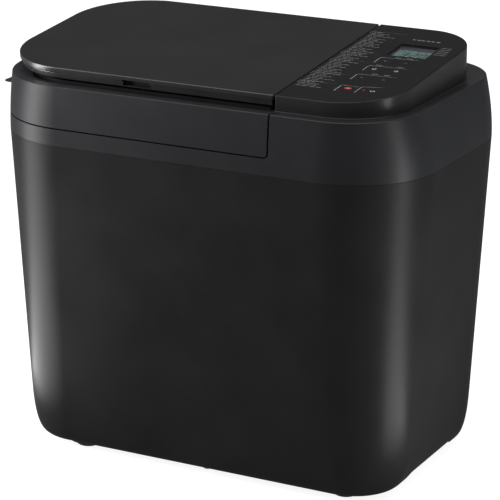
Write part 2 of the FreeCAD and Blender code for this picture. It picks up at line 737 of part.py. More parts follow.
def pan_handle():
    """Bail of round wire with an eye at each end, folded forwards onto the pan's rim."""
    lean = math.radians(HANDLE_LEAN)
    bar_y = -HANDLE_ARM * math.cos(lean)
    bar_z = HANDLE_PIVOT_Z + HANDLE_ARM * math.sin(lean)
    start_y = -4.6 * math.cos(lean)
    start_z = HANDLE_PIVOT_Z + 4.6 * math.sin(lean)
    left = OVEN_X - HANDLE_X
    right = OVEN_X + HANDLE_X
    points = [(left, start_y, start_z), (left, bar_y, bar_z),
              (right, bar_y, bar_z), (right, start_y, start_z)]
    parts = [pipe(points, [12, 12], 2.0)]
    for x in (left, right):
        parts.append(cylinder((x - 1.8, 0, HANDLE_PIVOT_Z), 5.5, 3.6, (1, 0, 0)))
    handle = join(parts)
    return handle.cut(cylinder((left - 10, 0, HANDLE_PIVOT_Z), 2.25, 200, (1, 0, 0)))


# ---------- kneader ----------
def kneading_shaft():
    return cylinder((OVEN_X, 0, 88), SHAFT_RADIUS, 40)


def wing_coupling():
    hub = cylinder((OVEN_X, 0, 88), COUPLING_RADIUS, 5.2)
    hub = join([hub] + lugs(COUPLING_Z + 0.8, 89, True))
    return hub.cut(cylinder((OVEN_X, 0, 70), SHAFT_RADIUS, 40))


def kneading_blade():
    hub = cylinder((OVEN_X, 0, 110.4), 8.5, 19)
    edges = [
        Part.makeLine(V(OVEN_X, 0, 110.4), V(OVEN_X + 40, 0, 110.4)),
        Part.Arc(V(OVEN_X + 40, 0, 110.4), V(OVEN_X + 45, 0, 120), V(OVEN_X + 42, 0, 134)).toShape(),
        Part.Arc(V(OVEN_X + 42, 0, 134), V(OVEN_X + 26, 0, 137), V(OVEN_X + 8, 0, 129.4)).toShape(),
        Part.makeLine(V(OVEN_X + 8, 0, 129.4), V(OVEN_X, 0, 129.4)),
        Part.makeLine(V(OVEN_X, 0, 129.4), V(OVEN_X, 0, 110.4)),
    ]
    wing = Part.Face(Part.Wire(edges)).extrude(V(0, 4.5, 0))
    wing.translate(V(0, -2.25, 0))
    blade = hub.fuse(wing).removeSplitter()
    return blade.cut(cylinder((OVEN_X, 0, 100), SHAFT_RADIUS, 28))


# ---------- lid ----------
def lid_frame():
    """Skirt, ledge and rim of the lid, with the hinge barrels behind."""
    frame = upper_loft(LID_BOTTOM_Z, RIM_Z, 0.0)
    inner = upper_loft(LID_BOTTOM_Z, RIM_Z, WALL)
    frame = frame.common(lid_plan(-GAP / 2, LID_BOTTOM_Z - 1, RIM_Z + 5))
    frame = frame.cut(tab_corner(-GAP / 2, LID_BOTTOM_Z))
    hollow = inner.common(lid_plan(-GAP / 2 - WALL, LID_BOTTOM_Z - 1, LEDGE_UNDER_Z))
    frame = frame.cut(hollow).cut(above_ledge())
    low = (LEDGE_INNER_LEFT, -PLATE_HALF_DEPTH)
    high = (SPLIT_X - 3, HINGE_ARM_Y)
    frame = frame.cut(rounded_prism(low, high, LEDGE_INNER_RADIUS, PLATE_CORNER, LEDGE_UNDER_Z - 6, RIM_Z))
    for index in range(10):
        y = -47 + index * 10
        frame = frame.cut(box((-200, y, 302), (-186, y + 5, 308)))
    parts = [frame]
    for x in LID_HINGES_X:
        low = (x - HINGE_ARM_HALF, HINGE_ARM_Y, LEDGE_UNDER_Z)
        parts.append(box(low, (x + HINGE_ARM_HALF, SPLIT_REAR_Y - 1, LID_AXIS_Z + 3)))
        low = (x - HINGE_ARM_HALF, HINGE_ARM_Y, LID_AXIS_Z - 4)
        parts.append(box(low, (x + HINGE_ARM_HALF, LID_AXIS_Y, LID_AXIS_Z + 3)))
        start = (x - HINGE_ARM_HALF, LID_AXIS_Y, LID_AXIS_Z)
        parts.append(cylinder(start, LID_BARREL, 2 * HINGE_ARM_HALF, (1, 0, 0)))
    frame = join(parts)
    bore = cylinder((-300, LID_AXIS_Y, LID_AXIS_Z), LID_PIN + RUN_CLEARANCE, 600, (1, 0, 0))
    return frame.cut(bore)


def housing_outline(skin, z0, z1):
    low = (HOUSING_LOW[0] + skin, HOUSING_LOW[1] + skin)
    high = (HOUSING_HIGH[0] - skin, HOUSING_HIGH[1] - skin)
    return rounded_prism(low, high, HOUSING_RADIUS - skin, PLATE_CORNER, z0, z1)


def nut_outline(grow, radius, z0, z1):
    """Outline of the nut dispenser's box, grown by grow."""
    low = (NUT_LOW[0] - grow, NUT_LOW[1] - grow)
    high = (NUT_HIGH[0] + grow, NUT_HIGH[1] + grow)
    return rounded_prism(low, high, radius, radius, z0, z1)


def lid_housing():
    """Wedge-shaped box between the ledge and the dispenser lid, with a flange under the ledge."""
    foot = LEDGE_UNDER_Z - 3
    walls = housing_outline(0, foot, ABOVE_ALL).cut(above_top(HOUSING_TOP))
    flange = upper_loft(foot, LEDGE_UNDER_Z, 6.0)
    flange = flange.common(lid_plan(-GAP / 2 - WALL - 0.5, foot - 1, LEDGE_UNDER_Z + 6))
    body = join([walls, flange])
    hollow = housing_outline(WALL, foot - 3, ABOVE_ALL).cut(above_top(HOUSING_TOP - WALL))
    body = body.cut(hollow)
    body = body.cut(nut_outline(0.3, 5.3, foot - 3, ABOVE_ALL))
    body = body.cut(cylinder((YEAST_CENTRE[0], YEAST_CENTRE[1], 300), YEAST_RADIUS + 0.3, 80))
    parts = [body]
    for x in PLATE_HINGES_X:
        for start in (x - PLATE_KNUCKLE_OUT, x + PLATE_KNUCKLE_OUT - PLATE_KNUCKLE):
            low = (start, 93, PLATE_AXIS_Z - 9)
            parts.append(box(low, (start + PLATE_KNUCKLE, PLATE_AXIS_Y, PLATE_AXIS_Z)))
            centre = (start, PLATE_AXIS_Y, PLATE_AXIS_Z)
            parts.append(cylinder(centre, PLATE_BARREL, PLATE_KNUCKLE, (1, 0, 0)))
    body = join(parts)
    return body.cut(cylinder((-300, PLATE_AXIS_Y, PLATE_AXIS_Z), PLATE_PIN, 600, (1, 0, 0)))


def dispenser_hinge_pins():
    pins = []
    for x in PLATE_HINGES_X:
        start = (x - PLATE_KNUCKLE_OUT, PLATE_AXIS_Y, PLATE_AXIS_Z)
        pins.append(cylinder(start, PLATE_PIN, 2 * PLATE_KNUCKLE_OUT, (1, 0, 0)))
    return Part.makeCompound(pins)


def lid_liner():
    sheet = upper_loft(LID_BOTTOM_Z + 1.3, LID_BOTTOM_Z + 2.8, WALL + 0.5)
    sheet = sheet.common(lid_plan(-GAP / 2 - WALL - 0.5, LID_BOTTOM_Z, RIM_Z))
    sheet = sheet.cut(nut_outline(0.5, 5.5, LID_BOTTOM_Z, LID_BOTTOM_Z + 5))
    sheet = sheet.cut(cylinder((YEAST_CENTRE[0], YEAST_CENTRE[1], LID_BOTTOM_Z), YEAST_RADIUS + 0.5, 5))
    for index in range(5):
        sheet = sheet.cut(cylinder((-140, -32 + index * 16, LID_BOTTOM_Z), 3.5, 5))
    return sheet


def lid_seal():
    seal = oven_outline(5.5, DECK_Z + 0.35, LID_BOTTOM_Z + 1.3)
    return seal.cut(oven_outline(2.0, DECK_Z, LID_BOTTOM_Z + 5))


def steam_vent_hood():
    """Long wedge along the lid's left side, thinning outwards to a narrow edge."""
    tip = HOOD_TIP[0]
    root = tip + 28
    edge_low = V(tip, -HOOD_HALF, HOOD_TIP[1] - 0.5)
    edge_high = V(tip, -HOOD_HALF, HOOD_TIP[1] + 0.5)
    root_high = V(root, -HOOD_HALF, HOOD_TIP[1] + HOOD_RISE)
    root_low = V(root, -HOOD_HALF, HOOD_TIP[1] - HOOD_RISE)
    profile = Part.Face(Part.makePolygon([edge_low, edge_high, root_high, root_low, edge_low]))
    wedge = profile.extrude(V(0, 2 * HOOD_HALF, 0))
    plan = rounded_prism((tip, -HOOD_HALF), (root, HOOD_HALF), 7, 1, LID_BOTTOM_Z, RIM_Z)
    return wedge.common(plan).cut(upper_loft(LID_BOTTOM_Z, RIM_Z, 0.0))


def nut_dispenser_box():
    outer = nut_outline(0, 5, DISPENSER_BOTTOM_Z, ABOVE_ALL)
    lip = nut_outline(3, 8, LEDGE_UNDER_Z, ABOVE_ALL).common(above_top(HOUSING_TOP))
    shape = outer.fuse(lip).cut(above_top(HOUSING_TOP + LIP_RISE))
    hollow = nut_outline(-1.5, 3.5, DISPENSER_BOTTOM_Z - 1, ABOVE_ALL)
    return shape.cut(hollow).removeSplitter()


def yeast_cup():
    x, y = YEAST_CENTRE
    outer = cylinder((x, y, DISPENSER_BOTTOM_Z), YEAST_RADIUS, 80)
    lip = cylinder((x, y, LEDGE_UNDER_Z), YEAST_RADIUS + 1.8, 60).common(above_top(HOUSING_TOP))
    shape = outer.fuse(lip).cut(above_top(HOUSING_TOP + LIP_RISE))
    return shape.cut(cylinder((x, y, DISPENSER_BOTTOM_Z - 1), YEAST_RADIUS - 1.5, 90)).removeSplitter()


def flap(low, high):
    """Drop flap: a plate with a hinge barrel along its rear edge."""
    bottom = FLAP_TOP_Z - FLAP_THICK
    plate = box((low[0] + 0.8, low[1] + 0.8, bottom), (high[0] - 0.8, high[1], FLAP_TOP_Z))
    barrel = cylinder((low[0] + 0.8, high[1], (bottom + FLAP_TOP_Z) / 2), FLAP_THICK / 2,
                      high[0] - low[0] - 1.6, (1, 0, 0))
    return join([plate, barrel])


def nut_flap():
    return flap(NUT_LOW, NUT_HIGH)


def yeast_flap():
    x, y = YEAST_CENTRE
    reach = YEAST_RADIUS - 0.5
    return flap((x - reach, y - reach), (x + reach, y + reach))


def dispenser_solenoids():
    coils = []
    for y in (-22, 42):
        coil = box((34, y - 14, 300.1), (56, y + 14, 318))
        plunger = cylinder((24, y, 309), 3.0, 10, (1, 0, 0))
        coils.append(coil.fuse(plunger).removeSplitter())
    return Part.makeCompound(coils)


# ---------- dispenser lid ----------
def notch(depth, z0, z1):
    y = -PLATE_HALF_DEPTH / TILT_COS
    half = NOTCH_WIDTH / 2
    return rounded_prism((NOTCH_X - half, y - 20), (NOTCH_X + half, y + depth), 4, 4, z0, z1)


def dispenser_lid():
    """Flat top plate with a deep edge and a hollow underside."""
    plate = plate_outline(0, -PLATE_THICK, 0)
    plate = plate.cut(plate_outline(7, -PLATE_THICK - 1, -2.2))
    plate = plate.cut(notch(PLATE_NOTCH_DEPTH, -PLATE_THICK - 1, NOTCH_TOP))
    return tilted(plate)


def dispenser_lid_liner():
    """Second layer under the plate, stepped in, with the hinge barrels at its rear edge."""
    layer = plate_outline(1.8, LINER_BOTTOM, LINER_TOP)
    layer = layer.cut(plate_outline(9, LINER_BOTTOM + 1.6, LINER_TOP + 1))
    pad = plate_outline(2.5, LINER_TOP, -PLATE_THICK).cut(plate_outline(6.5, LINER_TOP - 1, 0))
    layer = join([layer, pad]).cut(notch(LINER_NOTCH_DEPTH, LINER_BOTTOM + NOTCH_FLOOR, 0))
    layer = tilted(layer)
    for x in PLATE_HINGES_X:
        layer = layer.cut(box((x - 17, 92.5, 345), (x + 17, 110, 357)))
    parts = [layer]
    for x in PLATE_HINGES_X:
        low = (x - 8, 91, PLATE_AXIS_Z - 1.6)
        parts.append(box(low, (x + 8, PLATE_AXIS_Y + 0.6, PLATE_AXIS_Z + 3.2)))
        parts.append(cylinder((x - 8, PLATE_AXIS_Y, PLATE_AXIS_Z), PLATE_BARREL, 16, (1, 0, 0)))
    whole = join(parts)
    return whole.cut(cylinder((-300, PLATE_AXIS_Y, PLATE_AXIS_Z), 1.0 + RUN_CLEARANCE, 600, (1, 0, 0)))


# ---------- control pod ----------
def panel_holes(grow, z0, z1):
    """Key and display openings, drawn in the tilted plane."""
    holes = []
    for column, row in KEYS.values():
        x = KEY_COLUMNS[column]
        y = KEY_ROWS[row] / TILT_COS
        low = (x - KEY_SIZE[0] / 2 - grow, y - KEY_SIZE[1] / 2 - grow)
        high = (x + KEY_SIZE[0] / 2 + grow, y + KEY_SIZE[1] / 2 + grow)
        holes.append(rounded_prism(low, high, 2 + grow, 2 + grow, z0, z1))
    low = (LCD_LOW[0] - grow, LCD_LOW[1] / TILT_COS - grow)
    high = (LCD_HIGH[0] + grow, LCD_HIGH[1] / TILT_COS + grow)
    holes.append(rounded_prism(low, high, 1.2 + grow, 1.2 + grow, z0, z1))
    return tilted(Part.makeCompound(holes))


def fascia_outline(inset, z0, z1):
    low = (SPLIT_X + GAP / 2 + inset, -PLATE_HALF_DEPTH / TILT_COS + inset)
    high = (POD_RIGHT - inset, PLATE_HALF_DEPTH / TILT_COS - inset)
    rear = POD_REAR_RADIUS - inset
    return tilted(rounded_prism(low, high, PLATE_CORNER, POD_RADIUS - inset, z0, z1, rear))


def control_pod():
    pod = pod_outline(0, LEDGE_FOOT_Z, ABOVE_ALL).cut(above_top(0))
    pod = pod.cut(pod_outline(WALL, LEDGE_FOOT_Z - 1, ABOVE_ALL).cut(above_top(-POD_ROOF)))
    pod = pod.cut(fascia_outline(1.6, -FASCIA, 5))
    return pod.cut(panel_holes(KEY_HOLE_GAP, -POD_ROOF - 2, 3))


def panel_fascia():
    return fascia_outline(1.7, -FASCIA, 0).cut(panel_holes(KEY_HOLE_GAP, -POD_ROOF, 3))


def lcd_window():
    low = (LCD_LOW[0], LCD_LOW[1] / TILT_COS)
    high = (LCD_HIGH[0], LCD_HIGH[1] / TILT_COS)
    return tilted(rounded_prism(low, high, 1.2, 1.2, -2.0, -0.3))


def lcd_module():
    low = (LCD_LOW[0] + 0.4, LCD_LOW[1] / TILT_COS + 0.4)
    high = (LCD_HIGH[0] - 0.4, LCD_HIGH[1] / TILT_COS - 0.4)
    glass = rounded_prism(low, high, 1, 1, -9.4, -2.1)
    return tilted(glass)


def control_board():
    board = box((104, -78, -11), (164, 64, -9.4))
    parts = [board]
    for column, row in KEYS.values():
        x = KEY_COLUMNS[column]
        y = KEY_ROWS[row] / TILT_COS
        parts.append(box((x - 3, y - 3, -9.4), (x + 3, y + 3, -8.9)))
    for x, y in ((108, -70), (108, 58), (160, -50), (162, 50)):
        parts.append(cylinder((x, y, -9.4), 2.5, 9.4 - POD_ROOF))
    return tilted(join(parts))


def key(name):
    """Key cap with a retaining flange and a stem that works the switch below."""
    column, row = KEYS[name]
    x = KEY_COLUMNS[column]
    y = KEY_ROWS[row] / TILT_COS
    half_x = KEY_SIZE[0] / 2
    half_y = KEY_SIZE[1] / 2
    cap = rounded_prism((x - half_x, y - half_y), (x + half_x, y + half_y), 2, 2, -4.5, 0.3)
    flange = box((x - half_x - 1, y - half_y - 1, -5.2), (x + half_x + 1, y + half_y + 1, -3.9))
    stem = cylinder((x, y, -8.0), 2.0, 4)
    return tilted(join([cap, flange, stem]))


PIECES = {
    "outer_case": outer_case,
    "base_plate": base_plate,
    "base_screws": base_screws,
    "feet": feet,
    "cord_gland": cord_gland,
    "upper_band": upper_band,
    "hinge_bracket": hinge_bracket,
    "lid_hinge_pins": lid_hinge_pins,
    "oven_chamber": oven_chamber,
    "heater_element": heater_element,
    "temperature_sensor": temperature_sensor,
    "chamber_stand": chamber_stand,
    "drive_bearing": drive_bearing,
    "pan_seat": pan_seat,
    "drive_shaft": drive_shaft,
    "large_pulley": large_pulley,
    "drive_coupling": drive_coupling,
    "motor_housing": motor_housing,
    "motor_bracket": motor_bracket,
    "motor_shaft": motor_shaft,
    "motor_pulley": motor_pulley,
    "drive_belt": drive_belt,
    "heat_shield": heat_shield,
    "power_board": power_board,
    "bread_pan": bread_pan,
    "pan_base_ring": pan_base_ring,
    "pan_bearing": pan_bearing,
    "handle_pivots": handle_pivots,
    "pan_handle": pan_handle,
    "kneading_shaft": kneading_shaft,
    "wing_coupling": wing_coupling,
    "kneading_blade": kneading_blade,
    "lid_frame": lid_frame,
    "lid_housing": lid_housing,
    "dispenser_hinge_pins": dispenser_hinge_pins,
    "lid_liner": lid_liner,
    "lid_seal": lid_seal,
    "steam_vent_hood": steam_vent_hood,
    "nut_dispenser_box": nut_dispenser_box,
    "yeast_cup": yeast_cup,
    "nut_flap": nut_flap,
    "yeast_flap": yeast_flap,
    "dispenser_solenoids": dispenser_solenoids,
    "dispenser_lid": dispenser_lid,
    "dispenser_lid_liner": dispenser_lid_liner,
    "control_pod": control_pod,
    "panel_fascia": panel_fascia,
    "lcd_window": lcd_window,
    "lcd_module": lcd_module,
    "control_board": control_board,
}

os.makedirs("parts", exist_ok=True)
for name, build in PIECES.items():
    shape = build()
    print(name, "valid", shape.isValid(), "solids", len(shape.Solids), "cm3", round(shape.Volume / 1000, 2))
    shape.exportStep("parts/" + name + ".step")
for name in KEYS:
    shape = key(name)
    print(name, "valid", shape.isValid(), "solids", len(shape.Solids), "cm3", round(shape.Volume / 1000, 2))
    shape.exportStep("parts/" + name + ".step")
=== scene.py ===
"""Looks of a countertop bread machine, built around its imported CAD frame.

Meshes are drawn in millimetres, +Z up, and add_piece() scales them to metres when they are finished.
"""
import math

import bmesh
import bpy
from mathutils import Matrix, Vector


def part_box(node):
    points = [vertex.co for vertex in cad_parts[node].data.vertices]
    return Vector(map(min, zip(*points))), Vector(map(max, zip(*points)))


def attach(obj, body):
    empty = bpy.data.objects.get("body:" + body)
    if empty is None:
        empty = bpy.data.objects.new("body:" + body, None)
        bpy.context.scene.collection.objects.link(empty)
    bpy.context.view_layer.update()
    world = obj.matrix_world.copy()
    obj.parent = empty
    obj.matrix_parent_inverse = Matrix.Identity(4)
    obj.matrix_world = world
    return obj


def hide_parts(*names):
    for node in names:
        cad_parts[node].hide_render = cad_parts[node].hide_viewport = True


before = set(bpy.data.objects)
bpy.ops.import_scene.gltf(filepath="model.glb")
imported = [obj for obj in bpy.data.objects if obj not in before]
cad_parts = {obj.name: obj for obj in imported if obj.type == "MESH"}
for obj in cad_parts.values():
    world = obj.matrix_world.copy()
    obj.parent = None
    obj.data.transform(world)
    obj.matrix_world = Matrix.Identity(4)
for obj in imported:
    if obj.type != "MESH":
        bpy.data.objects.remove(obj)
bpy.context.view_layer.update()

MM = 0.001
BEYOND = 300.0  # far enough to be outside the machine


def span(node):
    """Lowest and highest corner of a CAD node, in mm."""
    low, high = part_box(node)
    return low / MM, high / MM


# --- Sizes taken from the frame ---
CASE_LOW, CASE_HIGH = span("outer_case")
BAND_LOW, BAND_HIGH = span("upper_band")
POD_LOW, POD_HIGH = span("control_pod")
COVER_LOW, COVER_HIGH = span("dispenser_lid")
HOOD_LOW, HOOD_HIGH = span("steam_vent_hood")
LEFT = CASE_LOW.x
RIGHT = CASE_HIGH.x
HALF_DEPTH = CASE_HIGH.y
BOTTOM_Z = CASE_LOW.z
SEAM_Z = BAND_LOW.z
RIM_Z = BAND_HIGH.z
TOP_HALF_DEPTH = POD_HIGH.y

# --- Case profile ---
WALL = 2.5
CORNER_LEFT = 82.0
CORNER_RIGHT = 75.0
TAPER = 0.063  # inward lean per mm below the seam
CURL_INSET = 12.0  # how far the bottom edge curls in
CURL_HEIGHT = 44.0
CURL_POWER = 2.6
CORNER_SHRINK = 1.4
HOLD_RISE = 6.6  # hand-hold arch above the bottom edge
HOLD_FLAT = 38.0
HOLD_RUN = 16.0
CURL_STEPS = 14
SIDE_STEPS = 9
CASE_SPLITS = (56, 12, 56, 12)  # steps along each side of the case's outline
BAND_SPLITS = (4, 10, 4, 10)
CORNER_STEPS = 28
CASE_EDGE = ((-1.2, 0.0), (-0.5, 0.0), (-0.15, 0.12), (0.0, 0.5), (0.0, 0.9))  # height from the seam, inset
INNER_LEVELS = (30.0, 16.0, 9.5)  # rows of the case's inner wall within the curl
INNER_MIDDLE = 180.0
TOUCH = 0.01  # closeness that counts as on the same plane
RIM_INSET = 3.0
RIM_INSET_RIGHT = 10.0
RIM_RADIUS_LOSS = 14.0
RIM_ROUND = 1.0
SOFT_STEPS = 5

# --- Band, lid and ledge ---
GAP = 1.6
SPLIT_X = 82.3
SPLIT_FRONT_X = 89.1
SPLIT_FRONT_Y = -102.1
SPLIT_REAR_Y = 107.2
DECK_Z = 296.0
DECK_THICK = 3.0
LID_BOTTOM_Z = 297.2
RIM_FACE = 1.0
LEDGE_FOOT_Z = POD_LOW.z
LEDGE_THICK = 3.0
LEDGE_UNDER_Z = 325.0
LEDGE_INNER_LEFT = -177.5
LEDGE_INNER_RADIUS = 66.0
LEDGE_MOUTH_REAR = 98.0
TAB_RADIUS = 4.0
SQUARE_CORNER = 1.5
BAND_EDGE = 0.5
POD_HOLE_INSET = 4.5
STEAM_COUNT = 10
STEAM_PITCH = 10.0
STEAM_LOW = Vector((-200.0, -47.0, 302.0))  # first outlet under the hood
STEAM_HIGH = Vector((-186.0, -42.0, 308.0))
HOOD_RADIUS = 7.0
HOOD_INNER_RADIUS = 0.8
HOOD_SLOPE = 6.5
HOOD_NOSE = ((0.8, 0.6), (0.15, 0.3))  # inset, height from the middle
OVEN_X = -53.0
OVEN_HALF_WIDTH = 105.0
OVEN_HALF_DEPTH = 98.0
OVEN_RADIUS = 16.0

# --- Tilted top plane ---
TOP_SLOPE = 0.094
TILT = math.atan(TOP_SLOPE)
TILT_COS = math.cos(TILT)
TOP_Z = POD_HIGH.z - TOP_SLOPE * TOP_HALF_DEPTH
TOP_DEPTH = TOP_HALF_DEPTH / TILT_COS
POD_RADIUS = 56.3
POD_REAR_RADIUS = 46.3
POD_SOFT = 0.9
POD_FOOT = ((-0.9, 0.0), (-0.9, 0.25), (-0.6, 0.6), (-0.2, 0.9), (0.0, 1.0))  # inset, height
POD_LIP = ((1.5, 0.0), (1.65, 0.15))  # inset, drop
POD_SHELF = 9.0
POD_SHELF_THICK = 2.4
COVER_RADIUS = 65.0
COVER_THICK = 4.6
COVER_EDGE = 0.9
LAYER_TOP = -5.0
LAYER_BOTTOM = -10.0
NOTCH_X = -46.0
NOTCH_WIDTH = 27.0
NOTCH_TOP = -3.4
NOTCH_LIP = 1.3  # left of the second layer below the notch
NOTCH_DEPTH = 6.0
LAYER_NOTCH_DEPTH = 7.5
NOTCH_RADIUS = 2.0
COVER_SPLITS = (8, 8, 8, 8)
PLATE_HOLLOW = (7.0, 8.0, -2.2)  # insets of the hollow's wall and roof, and the roof's level
LAYER_HOLLOW = (9.0, 10.0, 1.6)  # the same, with the roof's rise above the layer's foot
LAYER_INSET = 1.8
LAYER_EDGE = 0.7
LAYER_STEP = 6.6

# --- Hinges ---
LID_AXIS = (112.0, 340.0)  # y, z
LID_HINGES_X = (-92.0, 34.0)
ARM_HALF = 10.0
ARM_RADIUS = 5.0
ARM_FRONT = 98.0
ARM_BACK = 106.2
ARM_BELOW = 4.0
ARM_ABOVE = 3.0
COVER_AXIS = (101.0, 352.6)
COVER_HINGES_X = (-110.0, 10.0)
COVER_GAP = (17.0, 92.5, 110.0, 345.0, 357.0)  # half width, then y and z ranges of the hinge's gap
KNUCKLE_HALF = 8.0
KNUCKLE_RADIUS = 1.8
KNUCKLE_FRONT = 91.0
KNUCKLE_BELOW = 1.6
KNUCKLE_ABOVE = 3.2
KNUCKLE_BEHIND = 0.6

# --- Panel ---
FILM = 1.0
FILM_INSET = 1.7
KEY_SIZE = (15.6, 11.6)
KEY_COLUMNS = (131.0, 149.2)
KEY_ROWS = {"timer": 9.0, "loaf": -12.8, "menu": -36.6, "run": -66.6}
KEYS = {
    "timer_down_key": (0, "timer"),
    "timer_up_key": (1, "timer"),
    "size_key": (0, "loaf"),
    "crust_key": (1, "loaf"),
    "menu_down_key": (0, "menu"),
    "menu_up_key": (1, "menu"),
    "stop_key": (0, "run"),
    "start_key": (1, "run"),
}
KEY_RAISE = 0.04
KEY_GAP = 0.07
KEY_RADIUS = 2.0
KEY_FOOT = -4.5
KEY_FLANGE = (1.0, -5.2, -4.6)  # overhang, foot, top
KEY_STEM = (2.0, -8.0)  # radius, foot
FILM_RADIUS = 1.2
FILM_EDGE = ((0.4, -FILM), (0, -FILM), (0, -0.15), (0.05, -0.04), (0.16, 0), (0.4, 0))
HOLE_RADIUS = 2.4
LCD_RADIUS = 1.6
LCD_LOW = (123.4, 24.6)
LCD_HIGH = (158.4, 56.2)
INK = 0.05  # thickness of the printed marks
INK_FOOT = 0.01
MENU_LEFT = 86.0
MENU_RIGHT = 118.0
MENU_GROUPS = ((78.5, 15), (21.0, 5), (-1.0, 9), (-37.0, 6), (-61.0, 3))  # y of the header, rows below it
MENU_PITCH = 3.5
MENU_WIDTHS = (14.0, 22.0, 18.0, 25.0)
MENU_INDENT = 0.8
MENU_HEADER = 1.1
MENU_ROW = 0.85
MENU_RULE = (-1.0, -4.0, 2.2)  # x, foot and head of a group's rule
WORD_GAP = 0.9
WORD_SHORTEST = 2.0
WORD_SPREAD = 4.2
KEY_FRAMES = (  # left, foot, head, right, rise to the right
    (122.2, 2.9, 17.0, 156.0, 2.0),
    (122.2, -19.2, -5.8, 156.8, 1.0),
    (122.6, -43.3, -29.4, 157.4, 1.4),
    (122.6, -73.9, -59.4, 138.4, 0.2),
    (140.2, -73.2, -58.0, 157.8, 3.4),
)
FRAME_RADIUS = 2.6
FRAME_LINE = (0.5, 0.12)  # width at the foot and at the far end
RULE_LINE = (0.35, 0.12)
RULE_RADIUS = 1.2
LABELS = ((134.0, 20.0), (144.5, 20.4), (127.0, -3.0), (146.0, -2.6), (134.0, -25.6), (144.5, -25.2))
LABEL_LENGTH = 5.4
LABEL_HALF = 0.5
SIDE_LABELS = 5
SIDE_LABEL_Y = 38.0
SIDE_LABEL_PITCH = 4.6
SIDE_LABEL_BARS = ((160.6, 4.6, 0.0), (166.0, 5.2, 0.5))  # left, length, loss of length per row
NAME_BARS = 6  # plain bars above the display
NAME_LEFT = 127.5
NAME_PITCH = 4.4
NAME_LENGTHS = (2.6, 3.4)
NAME_LOW = 69.0
NAME_HIGH = 71.0
CHEVRON_LEAN = 0.62
CHEVRON_WIDTH = 0.55

# --- Display ---
CELL_TOP = -2.1  # face of the display's cell below the top plane
FIELD_LOW = (126.2, 26.6)
FIELD_HIGH = (156.4, 46.8)
FIELD_THICK = 0.04
SEGMENT_MAP = {"2": "abged", "3": "abgcd", "0": "abcdef"}
DIGITS = (("3", 131.5), ("2", 140.6), ("0", 148.2))
DIGIT_FOOT = 30.2
DIGIT_SIZE = (5.6, 11.0)
SEGMENT_THICK = 1.15
SEGMENT_GAP = 0.3
DIGIT_LEAN = 0.08
COLON_X = (138.6, 139.6)
COLON_Y = (33.2, 37.4)
COLON_HEIGHT = 1.1
TICKS = 4
TICK_X = (129.0, 132.4)
TICK_Y = (43.6, 44.6)
TICK_PITCH = 7.0

# --- Rear of the case ---
VENT_GROUPS = ((60.0, 62.0), (-140.0, 236.0))  # x of the first slot, z of its foot
VENT_SLOTS = 9
VENT_PITCH = 8.0
VENT_SIZE = (3.2, 30.0)
VENT_RADIUS = 1.55
REAR_CUT_Y = (95.0, 135.0)
GLAND_HOLE_RADIUS = 6.0

# --- Camera, in metres and degrees ---
CAMERA_TARGET = Vector((0.008, 0.0, 0.175))
CAMERA_AZIMUTH = 27.716
CAMERA_ELEVATION = 17.58
CAMERA_DISTANCE = 2.14366
CAMERA_LENS = 177.19
CAMERA_SENSOR = 36.0
CAMERA_SHIFT = (-0.0008, -0.0048)

# --- Studio, in metres ---
LIGHTS = (  # name, place, target, width, height, radiance
    ("top_panel", (-0.3, -0.3, 3.2), (0, 0, 0), 5.0, 5.0, 2.4),
    ("left_low_panel", (-0.57, -0.28, 0.14), (-0.24, -0.105, 1.05), 0.24, 0.76, 8.0),
    ("left_high_panel", (-0.78, -0.52, 0.5), (0, 0, 0.3), 0.45, 0.55, 11.0),
    ("right_low_panel", (0.63, -0.07, 0.14), (0.29, -0.045, 1.05), 0.12, 0.76, 10.0),
    ("right_high_panel", (0.95, -0.08, 0.6), (0, 0, 0.3), 0.14, 0.6, 6.0),
)
SURROUND = (0.17, 0.17, 0.175)
FLOOR_SHADES = ((0.24, 0.24, 0.24), (0.26, 0.26, 0.26))
FLOOR_GLOW = 0.9
FLOOR_HALF = 9.0
FLOOR_DROP = 0.0003


# ---------- mesh tools ----------
def outline(low, high, left_radius, right_radius, z=0.0, corner=24, runs=(1, 1, 1, 1), rear_right=None):
    """Rounded rectangle, anticlockwise from the front end of the front right corner."""
    left_radius = max(left_radius, 0.05)
    right_radius = max(right_radius, 0.05)
    rear = rear_right or right_radius
    corners = (
        (high[0] - right_radius, low[1] + right_radius, right_radius, -90),
        (high[0] - rear, high[1] - rear, rear, 0),
        (low[0] + left_radius, high[1] - left_radius, left_radius, 90),
        (low[0] + left_radius, low[1] + left_radius, left_radius, 180),
    )
    arcs = []
    for x, y, radius, start in corners:
        arc = []
        for step in range(corner + 1):
            angle = math.radians(start + 90 * step / corner)
            arc.append(Vector((x + radius * math.cos(angle), y + radius * math.sin(angle), z)))
        arcs.append(arc)
    points = []
    for index, arc in enumerate(arcs):
        following = arcs[(index + 1) % 4][0]
        points += arc
        for step in range(1, runs[index]):
            points.append(arc[-1].lerp(following, step / runs[index]))
    return points


def loft(rings, loop=False):
    """Solid through rings of equal length; a loop joins the last ring to the first."""
    mesh = bmesh.new()
    rows = [[mesh.verts.new(point) for point in ring] for ring in rings]
    pairs = list(zip(rows, rows[1:]))
    if loop:
        pairs.append((rows[-1], rows[0]))
    for lower, upper in pairs:
        for index, vertex in enumerate(lower):
            after = (index + 1) % len(lower)
            mesh.faces.new((vertex, lower[after], upper[after], upper[index]))
    if not loop:
        mesh.faces.new(list(reversed(rows[0])))
        mesh.faces.new(rows[-1])
    return mesh


def prism(points, z0, z1):
    return loft([[Vector((p[0], p[1], z)) for p in points] for z in (z0, z1)])


def sweep(outline_at, section):
    """Solid whose outline at each (inset, z) of its section is outline_at(inset)."""
    rings = []
    for inset, z in section:
        rings.append([Vector((p.x, p.y, z)) for p in outline_at(inset)])
    return loft(rings)


